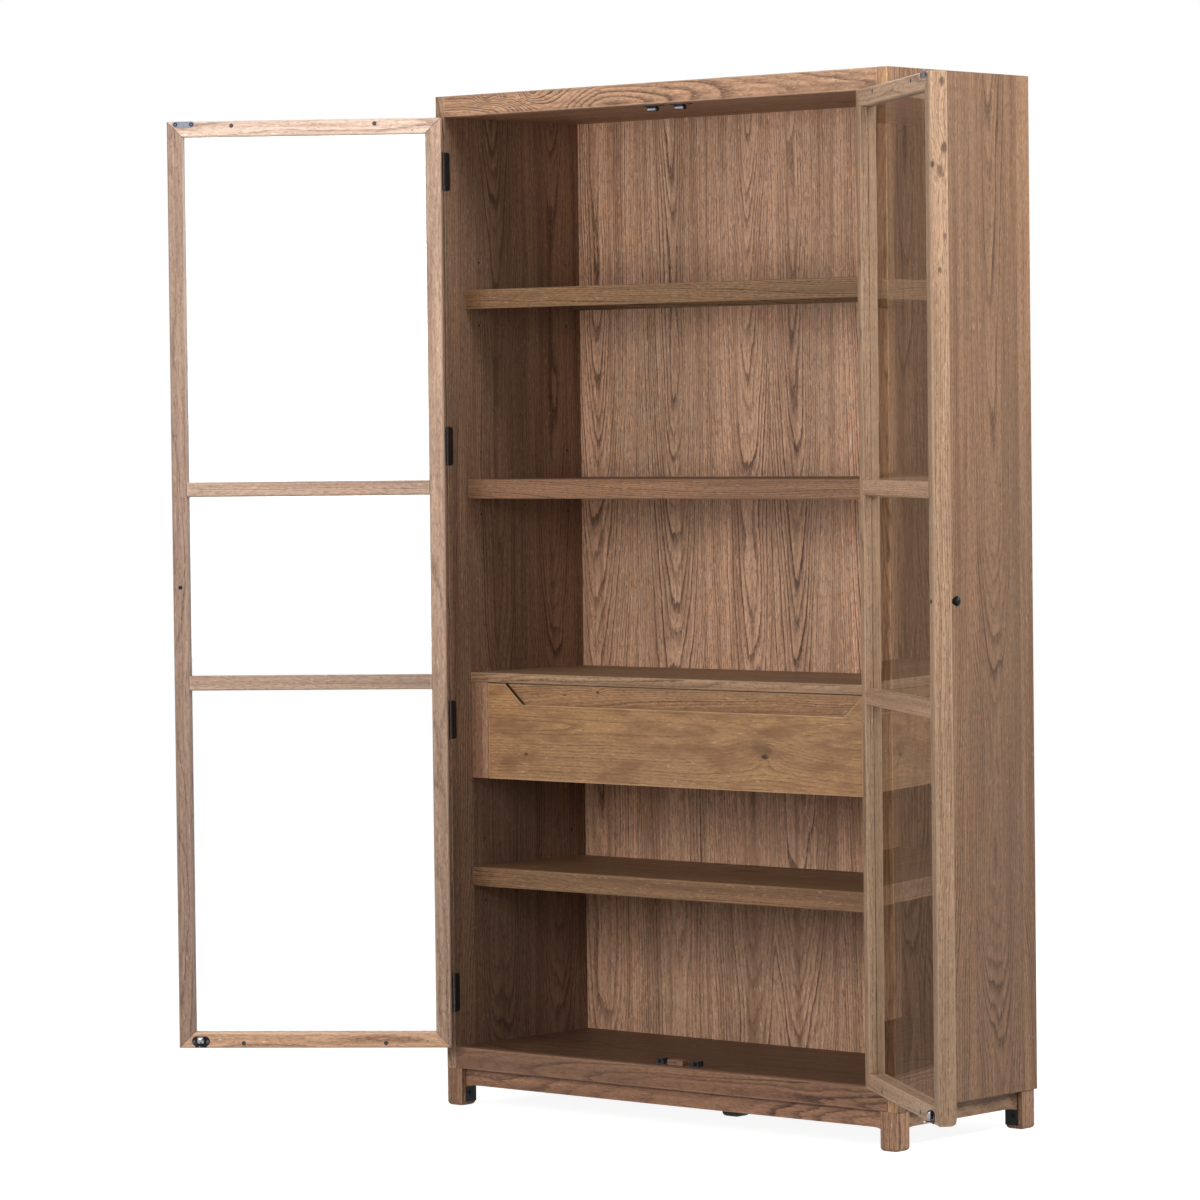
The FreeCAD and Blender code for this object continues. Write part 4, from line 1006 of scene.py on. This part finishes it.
@dataclass
class Form:
    """Points and faces of one piece, gathered from closed surfaces."""

    points: list[np.ndarray] = field(default_factory=list)
    faces: list[list[int]] = field(default_factory=list)
    count: int = 0

    def add(self, points: np.ndarray, faces: Iterable[Sequence[int]]) -> None:
        """Adds one closed surface.

        Args:
            points: n by 3 places.
            faces: each face's corners, numbered from 0.
        """
        self.faces += [[corner + self.count for corner in face] for face in faces]
        self.points.append(points)
        self.count += len(points)

    def rings(self, rings: np.ndarray) -> None:
        """Skins a stack of closed rings and caps both ends.

        Args:
            rings: levels by corners by 3 places; each ring turns anticlockwise seen from the last one.
        """
        levels, corners, _ = rings.shape
        quads = grid_faces(levels, corners)
        bottom = list(range(corners))[::-1]
        top = list(range((levels - 1) * corners, levels * corners))
        self.add(rings.reshape(-1, 3), [*quads.tolist(), bottom, top])

    def lathe(self, profile: Sequence[tuple[float, float]], place: Triple, axis: Triple, steps: int) -> None:
        """Turns a profile of (distance along the axis, radius) about an axis.

        A ring's point at angle a is place + axis * distance + radius * (cos a, sin a) across the axis.

        Args:
            profile: the outline's points, along the axis.
            place: where distances start.
            axis: the direction of distance.
            steps: how many points a ring has.
        """
        along, first, second = frame_of(axis)
        angles = np.linspace(0, 2 * math.pi, steps, endpoint=False)
        circle = np.outer(np.cos(angles), first) + np.outer(np.sin(angles), second)
        heights, radii = np.array(profile, float).T
        self.rings(np.array(place) + heights[:, None, None] * along
                   + np.maximum(radii, 1e-5)[:, None, None] * circle)

    def slab(self, outline: np.ndarray, levels: Sequence[tuple[float, float]], place: Triple,
             axis: Triple, first: Triple) -> None:
        """Raises an outline along an axis, drawn in by an inset at each level.

        A ring's point is its outline's point less the outline's outward normal times the inset.

        Args:
            outline: n by 2 places, anticlockwise about the axis.
            levels: (height, inset) from the lowest level up.
            place: where the outline's origin goes.
            axis: the direction of height.
            first: the outline's own first direction.
        """
        along = np.array(axis, float)
        one = np.array(first, float)
        two = np.cross(along, one)
        ahead = np.roll(outline, -1, 0) - np.roll(outline, 1, 0)
        normal = np.stack([ahead[:, 1], -ahead[:, 0]], 1)
        normal /= np.linalg.norm(normal, axis=1, keepdims=True)
        heights, insets = np.array(levels, float).T
        flat = outline[None] - insets[:, None, None] * normal[None]
        self.rings(np.array(place) + flat[..., :1] * one + flat[..., 1:] * two
                   + heights[:, None, None] * along)

    def screw(self, place: Triple, axis: Triple, radius: float, proud: float) -> None:
        """A cross-recessed head: a low dome on a polar grid, less a cross that fades at its ends.

        Height at (r, a) is proud * (1 - (r / R)^2) - depth * cross(x, y), where the cross is the larger
        of two bars' bell curves. The outermost ring is the lower edge of the head's side.

        Args:
            place: the middle of the head's seat.
            axis: the way it faces.
            radius: its radius R.
            proud: how far its dome stands out.
        """
        along, first, second = frame_of(axis)
        bar_half, bar_length, depth, side = 0.15, 0.6, 0.3, 0.105    # shares of the radius
        shares = np.array([1.0, 1.0, 0.96, 0.8, 0.62, 0.5, 0.38, 0.26, 0.16, 0.07])[:, None]
        angles = np.linspace(0, 2 * math.pi, 24, endpoint=False)
        x, y = shares * np.cos(angles), shares * np.sin(angles)
        bars = [np.exp(-(a / bar_half) ** 4 - (b / bar_length) ** 8) for a, b in ((x, y), (y, x))]
        height = proud * (1 - shares ** 2) - depth * radius * np.maximum(*bars)
        height[0] -= side * radius
        self.rings(np.array(place) + (radius * x)[..., None] * first + (radius * y)[..., None] * second
                   + height[..., None] * along)

    def hang(self, swing: Swing, part: str, slot: str, material: bpy.types.Material,
             replaced: str | None = None) -> None:
        """Opens the form with a door and makes it one of the door's pieces.

        Args:
            swing: the door.
            part: the piece's name after the door's.
            slot: the record's material slot.
            material: its finish.
            replaced: the CAD node that it stands for, after the door's name.
        """
        self.points = [swing.opened(points) for points in self.points]
        self.lay(f"{swing.name}_{part}", swing.name, slot, material,
                 [f"{swing.name}_{replaced}"] if replaced else ())

    def lay(self, name: str, body: str, slot: str, material: bpy.types.Material,
            replaced: Sequence[str] = ()) -> None:
        """Makes the form a piece of the object.

        Args:
            name: the piece's name.
            body: the body that it rides on.
            slot: the record's material slot; not used.
            material: its finish.
            replaced: the CAD nodes that it stands for.
        """
        mesh = bpy.data.meshes.new(name)
        mesh.from_pydata(np.concatenate(self.points).tolist(), [], self.faces)
        mesh.polygons.foreach_set("use_smooth", np.ones(len(mesh.polygons), bool))
        mesh.set_sharp_from_angle(angle=SHARP_EDGE)
        mesh.materials.append(material)
        piece = bpy.data.objects.new(name, mesh)
        bpy.context.scene.collection.objects.link(piece)
        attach(piece, body)
        if replaced:
            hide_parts(*replaced)
        LOG.info("%s: %d faces on %s", name, len(mesh.polygons), body)


def frame_of(axis: Triple) -> tuple[np.ndarray, np.ndarray, np.ndarray]:
    """Finds two directions across an axis.

    Args:
        axis: any vector but a nil one.

    Returns:
        The axis and the two directions, right-handed and of unit length.
    """
    along = np.array(axis, float)
    along /= np.linalg.norm(along)
    helper = np.array([0.0, 0.0, 1.0]) if abs(along[2]) < 0.9 else np.array([1.0, 0.0, 0.0])
    first = np.cross(helper, along)
    first /= np.linalg.norm(first)
    return along, first, np.cross(along, first)


def grid_faces(levels: int, corners: int) -> np.ndarray:
    """Quads between neighbouring rings of a stack, which face outwards.

    Args:
        levels: how many rings there are.
        corners: how many points a ring has.

    Returns:
        The corners of each quad, one row for each.
    """
    across = np.arange(corners)
    start = np.arange(levels - 1)[:, None] * corners
    right = (across + 1) % corners
    quads = np.stack([start + across, start + right, start + corners + right, start + corners + across], -1)
    return quads.reshape(-1, 4)


def rounded(width: float, height: float, radius: float, steps: int = 6) -> np.ndarray:
    """A rectangle about the origin with round corners: each is a quarter circle about its own centre.

    Args:
        width: from side to side.
        height: from bottom to top.
        radius: the corners' radius.
        steps: how many stretches a corner has.

    Returns:
        The outline's points, anticlockwise.
    """
    turn = np.linspace(0, math.pi / 2, steps + 1)
    arcs = []
    for quarter, (right, up) in enumerate(((1, 1), (-1, 1), (-1, -1), (1, -1))):
        angle = turn + quarter * math.pi / 2
        centre = (right * (width / 2 - radius), up * (height / 2 - radius))
        arcs.append(np.stack([centre[0] + radius * np.cos(angle), centre[1] + radius * np.sin(angle)], 1))
    return np.concatenate(arcs)


def smooth(corners: np.ndarray, steps: int) -> np.ndarray:
    """A closed curve through corners.

    Each stretch is the cubic from one corner to the next whose slope at a corner is half the step between
    the corner's neighbours.

    Args:
        corners: n by 2 places.
        steps: how many points each stretch gets.

    Returns:
        The curve's points.
    """
    share = np.linspace(0, 1, steps, endpoint=False)[:, None]
    before, after, beyond = np.roll(corners, 1, 0), np.roll(corners, -1, 0), np.roll(corners, -2, 0)
    parts = []
    for back, here, there, far in zip(before, corners, after, beyond):
        leave, arrive = (there - back) / 2, (far - here) / 2
        parts.append((2 * share ** 3 - 3 * share ** 2 + 1) * here
                     + (share ** 3 - 2 * share ** 2 + share) * leave
                     + (3 * share ** 2 - 2 * share ** 3) * there + (share ** 3 - share ** 2) * arrive)
    return np.concatenate(parts)


def rod(length: float, radius: float, bevel: float, drop: float,
        bore: float = 0.0) -> list[tuple[float, float]]:
    """The profile of a rod or a sleeve with bevelled ends, for Form.lathe.

    Args:
        length: from end to end.
        radius: the outer radius.
        bevel: how long each bevel is.
        drop: how much smaller the radius is at the ends.
        bore: the hole's radius.

    Returns:
        (distance, radius) from one end to the other.
    """
    return [(0, bore), (0, radius - drop), (bevel, radius), (length - bevel, radius), (length, radius - drop),
            (length, bore)]


# ---- Fittings ----

@dataclass(frozen=True)
class Hinges:
    """Six-knuckle butt hinges in black: leaves let in, screws, and the pins that join them."""

    lowest: float = 0.236
    highest: float = 1.944
    number: int = 4
    height: float = 0.08
    reach: float = 0.02
    corner: float = 0.0065
    knuckles: int = 6
    barrel: float = 0.004
    barrel_clearance: float = 0.0004
    knuckle_gap: float = 0.0003
    knuckle_bevel: float = 0.00035
    tab_root: float = 0.0017
    pin: float = 0.0018
    pin_bevel: float = 0.0004
    near: float = 0.001
    thick: float = 0.0015
    edge: float = 0.0002
    screw: float = 0.0034
    screw_proud: float = 0.0003
    screw_reach: float = 0.0122
    screw_spread: float = 0.027

    def _plate(self, depth: float) -> np.ndarray:
        """A leaf's outline: two round corners away from the axis, two square ones at it.

        Args:
            depth: how far it reaches from the barrel.

        Returns:
            The outline's points about its middle, anticlockwise.
        """
        outline = rounded(depth, self.height, self.corner)
        outline[outline[:, 0] < 0, 0] = -depth / 2
        outline = np.unique(np.round(outline, 7), axis=0)
        return outline[np.argsort(np.arctan2(outline[:, 1] / self.height, outline[:, 0] / depth))]

    def leaf(self, form: Form, x: float, z: float, out: int, first: int) -> None:
        """One leaf with every other knuckle.

        Args:
            form: what it is added to.
            x: the hinge axis.
            z: the hinge's middle.
            out: 1 if the leaf lies towards +X of the axis, else -1.
            first: 0 or 1, its lowest knuckle.
        """
        y = HINGE_AXIS[1]
        face = x + out * self.near
        back = face + out * self.thick
        inward, ahead = (-out, 0, 0), (0, 1, 0)
        start = self.barrel + self.barrel_clearance
        depth = self.reach - start
        form.slab(self._plate(depth), [(0, 0), (self.thick - self.edge, 0), (self.thick, self.edge)],
                  (back, y + start + depth / 2, z), inward, ahead)
        step = self.height / self.knuckles
        length = step - self.knuckle_gap
        tab = start + self.edge - self.tab_root
        for knuckle in range(first, self.knuckles, 2):
            low = z - self.height / 2 + knuckle * step + self.knuckle_gap / 2
            form.lathe(rod(length, self.barrel, self.knuckle_bevel, self.knuckle_bevel, self.pin),
                       (x, y, low), (0, 0, 1), 40)
            form.slab(rounded(tab, length, self.edge, 1), [(0, 0), (self.thick, 0)],
                      (back, y + self.tab_root + tab / 2, low + length / 2), inward, ahead)
        for level in (-1, 0, 1):
            form.screw((face, y + self.screw_reach, z + level * self.screw_spread), inward, self.screw,
                       self.screw_proud)

    def build(self, finishes: Finishes, swings: Sequence[Swing]) -> None:
        """Makes the case's leaves, each door's leaves and the pins.

        Args:
            finishes: the materials.
            swings: the doors.
        """
        case, pins = Form(), Form()
        pin = rod(self.height, self.pin, self.pin_bevel, self.pin * 0.2)
        for swing in swings:
            side = swing.side.value
            first = 1 if swing.side is Side.RIGHT else 0
            x = side * HINGE_AXIS[0]
            door = Form()
            for z in np.linspace(self.lowest, self.highest, self.number):
                self.leaf(case, x, z, side, first)
                self.leaf(door, x, z, -side, 1 - first)
                pins.lathe(pin, (x, HINGE_AXIS[1], z - self.height / 2), (0, 0, 1), 20)
            door.hang(swing, "hinge_set", "black_steel", finishes.hinge_steel, "hinge_leaves")
        case.lay("case_hinge_set", "case", "black_steel", finishes.hinge_steel, ["hinge_case_leaves"])
        pins.lay("hinge_pin_set", "case", "bright_steel", finishes.black_steel, ["hinge_pins"])


@dataclass(frozen=True)
class DoorFurniture:
    """What is screwed to one door: knob, strike plate, catch and caps. Places are those of the shut door."""

    swing: Swing
    knob_x: float = 0.0155
    knob_z: float = 1.087
    strike_x: float = 0.035
    strike_drop: float = 0.00625
    strike_screws: float = 0.0165
    catch_x: float = 0.0455
    catch_screws: float = 0.0137
    plate: float = 0.0015
    cap_x: tuple[float, float] = (DOOR.width - 0.137, 0.1355)
    cap_inset: float = 0.01
    inward: Triple = (0.0, 1.0, 0.0)

    def _x(self, distance: float) -> float:
        """X at a distance from the door's free edge."""
        return self.swing.side.value * (DOOR.hinge_edge - DOOR.width + distance)

    def knob(self, finishes: Finishes) -> None:
        """A turned knob that flares from its neck to a round crown, and its screw's head inside.

        The crown is a quarter of an ellipse, (rise * sin a, radius * cos a) from the knob's widest place.

        Args:
            finishes: the materials.
        """
        x = self._x(self.knob_x)
        widest, rise, radius = 0.0132, 0.0068, 0.01
        crown = [(widest + rise * math.sin(a), radius * math.cos(a)) for a in np.linspace(0, math.pi / 2, 9)]
        form = Form()
        form.lathe([(0, 0), (0, 0.0045), (0.003, 0.0041), (0.0045, 0.0044), (0.0065, 0.0058), (0.009, 0.0079),
                    (0.011, 0.0093), (0.0122, 0.0099), *crown],
                   (x, DOOR.front, self.knob_z), (0, -1, 0), 48)
        form.screw((x, DOOR.inside + 0.0013, self.knob_z), self.inward, 0.004, 0.0009)
        form.hang(self.swing, "turned_knob", "black_steel", finishes.black_steel, "knob")

    def strike(self, finishes: Finishes) -> None:
        """The strike plate's two screws.

        Args:
            finishes: the materials.
        """
        form = Form()
        for offset in (-self.strike_screws, self.strike_screws):
            form.screw((self._x(self.strike_x + offset), DOOR.inside + self.plate,
                        DOOR.high - self.strike_drop), self.inward, 0.0044, 0.0009)
        form.hang(self.swing, "strike_screws", "black_steel", finishes.black_steel)

    def catch(self, finishes: Finishes) -> None:
        """The lower catch: a black plate and housing, its screws, a chromed block and a steel spear.

        Args:
            finishes: the materials.
        """
        x, wall, z = self._x(self.catch_x), DOOR.inside, DOOR.low + 0.0005
        right, up = (-1.0, 0.0, 0.0), (0.0, 0.0, 1.0)
        half = np.array([(0.0115, 0.0), (0.012, 0.004), (0.015, 0.0055), (0.018, 0.01), (0.01875, 0.0145),
                         (0.0165, 0.0205), (0.012, 0.0235), (0.0085, 0.024)])
        outline = smooth(np.concatenate([half, half[::-1] * (-1, 1), [(0.0, 0.0)]]), 4)
        plate, screws, block = Form(), Form(), Form()
        plate.slab(np.maximum(outline, (-1.0, 0.0)), [(0, 0), (0.001, 0), (self.plate, 0.0005)], (x, wall, z),
                   self.inward, right)
        plate.slab(rounded(0.019, 0.0152, 0.003, 4), [(0, 0), (0.0036, 0), (0.0046, 0.001)],
                   (x, wall + 0.0012, z + 0.0164), self.inward, right)
        plate.hang(self.swing, "catch_plate", "black_steel", finishes.black_steel, "catch_tongue")
        for offset in (-self.catch_screws, self.catch_screws):
            screws.screw((x + offset, wall + self.plate, z + 0.012), self.inward, 0.0032, 0.0011)
        screws.hang(self.swing, "catch_screws", "black_steel", finishes.polished_black)
        block.slab(rounded(0.0145, 0.0142, 0.0036, 5),
                   [(0, 0), (0.0045, 0), (0.0078, 0.0027), (0.008, 0.003)],
                   (x, wall + self.plate, z + 0.0166), self.inward, right)
        neck, head, tip = 0.0016, 0.003, 0.016
        edge = np.array([(neck, 0), (neck, tip * 0.66), (head, tip * 0.75), (head * 0.8, tip * 0.84),
                         (neck * 0.6, tip * 0.97)])
        block.slab(np.concatenate([edge, [(0, tip)], edge[::-1] * (-1, 1)]),
                   [(0, 0.0003), (0.0004, 0), (0.0036, 0), (0.004, 0.0003)],
                   (x, wall + self.plate, z + 0.001), up, (1.0, 0.0, 0.0))
        block.hang(self.swing, "catch_spear", "bright_steel", finishes.chrome)

    def caps(self, finishes: Finishes) -> None:
        """Four low domed caps over the frame's screws.

        Args:
            finishes: the materials.
        """
        form = Form()
        for distance in self.cap_x:
            for z in (DOOR.low + self.cap_inset, DOOR.high - self.cap_inset):
                form.lathe([(0, 0.0043), (0.0002, 0.0045), (0.0004, 0.00445), (0.0007, 0.0036),
                            (0.0008, 0.002), (0.0008, 0.0)],
                           (self._x(distance), DOOR.inside, z), self.inward, 28)
        form.hang(self.swing, "domed_caps", "black_plastic", finishes.plastic, "cover_caps")

    def build(self, finishes: Finishes) -> None:
        """Makes everything screwed to the door."""
        for make in (self.knob, self.strike, self.catch, self.caps):
            make(finishes)


@dataclass(frozen=True)
class CaseCatches:
    """The magnetic catches under the top: a bright barrel between black ends, under a black flange."""

    ceiling: float = 2.057
    across: float = 0.0365
    front: float = -0.1882
    middle: float = -0.181
    flange: tuple[float, float, float] = (0.054, 0.013, 0.0015)
    block: tuple[float, float] = (0.0185, 0.009)
    barrel: float = 0.00525
    barrel_length: float = 0.0215
    barrel_bevel: float = 0.0002
    end: float = 0.0051
    end_length: float = 0.0026
    screw_offset: float = 0.0195

    def build(self, finishes: Finishes) -> None:
        """Makes both catches with their screws.

        Args:
            finishes: the materials.
        """
        housings, barrels, screws = Form(), Form(), Form()
        width, depth, thick = self.flange
        down, right = (0.0, 0.0, -1.0), (1.0, 0.0, 0.0)
        level = self.ceiling - thick
        barrel = rod(self.barrel_length, self.barrel, self.barrel_bevel, self.barrel_bevel)
        cap = [(0, 0), (0, self.end), (self.end_length - 0.0008, self.end),
               (self.end_length - 0.0002, self.end - 0.0005), (self.end_length, self.end - 0.0014),
               (self.end_length, 0)]
        for side in (-1, 1):
            x = side * self.across
            housings.slab(rounded(width, depth, 0.004), [(0, 0), (thick - 0.0003, 0), (thick, 0.0003)],
                          (x, self.middle, self.ceiling), down, right)
            housings.slab(rounded(*self.block, 0.001, 2), [(0, 0), (self.barrel, 0)],
                          (x, self.middle, level), down, right)
            y, z = self.front + self.barrel, level - self.barrel
            barrels.lathe(barrel, (x - self.barrel_length / 2, y, z), right, 40)
            for outward in (-1.0, 1.0):
                housings.lathe(cap, (x + outward * self.barrel_length / 2, y, z), (outward, 0.0, 0.0), 40)
                screws.screw((x + outward * self.screw_offset, self.middle, level), down, 0.003, 0.0011)
        housings.lay("magnet_housings", "case", "black_plastic", finishes.plastic, ["magnet_catch_bodies"])
        barrels.lay("magnet_barrels", "case", "blued_steel", finishes.chrome, ["magnet_catch_poles"])
        screws.lay("magnet_screws", "case", "black_steel", finishes.black_steel)


# ---- Stage ----

@dataclass(frozen=True)
class Stage:
    """A pale floor under a white surround."""

    half: float = 30.0
    spread: tuple[float, float] = (1.0, 4.0)
    near_light: float = 0.92
    floor_colour: float = 0.35
    seen_colour: float = 0.3
    soft_light: float = 0.04

    def build(self) -> None:
        """Makes the floor and the surround."""
        size = self.half
        mesh = bpy.data.meshes.new("floor")
        mesh.from_pydata([(-size, -size, 0), (size, -size, 0), (size, size, 0), (-size, size, 0)], [],
                         [(0, 1, 2, 3)])
        mesh.materials.append(self._pale_floor())
        floor = bpy.data.objects.new("floor", mesh)
        bpy.context.scene.collection.objects.link(floor)
        self._surround()

    def _pale_floor(self) -> bpy.types.Material:
        """The floor's look: it takes the object's shadow, and is brightest away from the object.

        Returns:
            The finished material.
        """
        material = bpy.data.materials.new("pale_floor")
        graph = Graph(material)
        plain, white = (graph.wire("ShaderNodeBsdfDiffuse", None, {"Color": (shade, shade, shade, 1.0)})
                        for shade in (self.floor_colour, self.seen_colour))
        x, y, _ = graph.split(graph.place())
        away = graph.math("SQRT", x * x + y * y).rise(*self.spread)
        level = away * (1.0 - self.near_light) + self.near_light
        glow = graph.wire("ShaderNodeEmission", None, {"Color": graph.grey(level), "Strength": 1.0})
        lit = graph.wire("ShaderNodeAddShader", None, {0: white, 1: glow})
        mixed = graph.wire("ShaderNodeMixShader", None, {0: graph.background_rays(), 1: plain, 2: lit})
        graph.node("ShaderNodeOutputMaterial", None, {0: mixed})
        return material

    def _surround(self) -> None:
        """A white surround to look at, which lights the object more gently."""
        world = bpy.data.worlds.new("surround")
        bpy.context.scene.world = world
        graph = Graph(world)
        soft, white = (graph.wire("ShaderNodeBackground", None, {"Color": (1, 1, 1, 1), "Strength": strength})
                       for strength in (self.soft_light, 1.0))
        mixed = graph.wire("ShaderNodeMixShader", None, {0: graph.background_rays(), 1: soft, 2: white})
        graph.node("ShaderNodeOutputWorld", None, {0: mixed})


@dataclass(frozen=True)
class Softbox:
    """A rectangular lamp that faces a point."""

    name: str
    place: Triple
    target: Triple
    width: float
    height: float
    power: float

    def build(self) -> None:
        """Hangs the lamp."""
        lamp = bpy.data.lights.new(self.name, "AREA")
        lamp.shape = "RECTANGLE"
        lamp.size, lamp.size_y = self.width, self.height
        lamp.energy = self.power
        holder = bpy.data.objects.new(self.name, lamp)
        holder.location = self.place
        towards = Vector(self.target) - Vector(self.place)
        holder.rotation_euler = towards.to_track_quat("-Z", "Y").to_euler()
        bpy.context.scene.collection.objects.link(holder)


@dataclass(frozen=True)
class Viewpoint:
    """The camera, by its place, its angles and its frame of 1200 by 1200."""

    place: Triple = (6.80552, -8.00961, 1.41972)
    yaw: float = 41.07366
    down: float = 1.76624
    roll: float = -0.63798
    focal: float = 5155.364
    centre: tuple[float, float] = (665.798, 581.184)
    frame: float = 1200.0
    sensor: float = 36.0

    def build(self) -> None:
        """Sets up the scene's camera."""
        yaw, down, roll = (math.radians(value) for value in (self.yaw, self.down, self.roll))
        forward = Vector((-math.sin(yaw) * math.cos(down), math.cos(yaw) * math.cos(down), -math.sin(down)))
        level = Vector((math.cos(yaw), math.sin(yaw), 0.0))
        upright = level.cross(forward)
        right = level * math.cos(roll) + upright * math.sin(roll)
        up = upright * math.cos(roll) - level * math.sin(roll)
        data = bpy.data.cameras.new("viewpoint")
        data.sensor_width = self.sensor
        data.lens = self.focal / self.frame * self.sensor
        data.shift_x = (self.frame / 2 - self.centre[0]) / self.frame
        data.shift_y = (self.centre[1] - self.frame / 2) / self.frame
        camera = bpy.data.objects.new("viewpoint", data)
        turned = Matrix((right, up, -forward)).transposed().to_4x4()
        camera.matrix_world = Matrix.Translation(self.place) @ turned
        bpy.context.scene.collection.objects.link(camera)
        bpy.context.scene.camera = camera


def main() -> None:
    """Builds everything in order."""
    finishes = Finishes()
    swings = (Swing(Side.LEFT, 143.6), Swing(Side.RIGHT, 142.4))
    for boards in (case_boards(), shelf_boards(), drawer_boards(), *map(door_boards, swings)):
        Joinery(boards).dress(finishes)
    for swing in swings:
        finishes.coat(finishes.glass, f"{swing.name}_glass")
        finishes.coat(finishes.blued_steel, f"{swing.name}_strike_plate")
        DoorFurniture(swing).build(finishes)
    Hinges().build(finishes, swings)
    CaseCatches().build(finishes)
    finishes.coat(finishes.black_steel, "leg_brackets", "leg_bolts")
    finishes.coat(finishes.rubber, "centre_foot")
    finishes.coat(finishes.bright_steel, "shelf_pins", "runner_fixed", "runner_middle", "runner_inner")
    finishes.coat(finishes.plastic, "roller_catches")
    Stage().build()
    for lamp in (Softbox("key", (-0.2, -3.3, 1.6), (0.0, 0.0, 1.3), 3.4, 1.6, 62.0),
                 Softbox("front", (1.1, -3.1, 2.3), (0.0, 0.0, 1.3), 1.4, 1.4, 18.0),
                 Softbox("side", (3.2, -0.3, 3.6), (0.3, 0.0, 1.2), 2.0, 2.0, 180.0),
                 Softbox("back", (-2.3, 3.6, 2.6), (0.0, 0.0, 1.1), 2.4, 2.4, 85.0)):
        lamp.build()
    Viewpoint().build()
    bpy.context.scene.view_settings.view_transform = "Standard"


for unwanted in list(bpy.data.objects):
    bpy.data.objects.remove(unwanted)
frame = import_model()

if __name__ == "__main__":
    logging.basicConfig(level=logging.INFO, format="%(name)s: %(message)s")
    main()
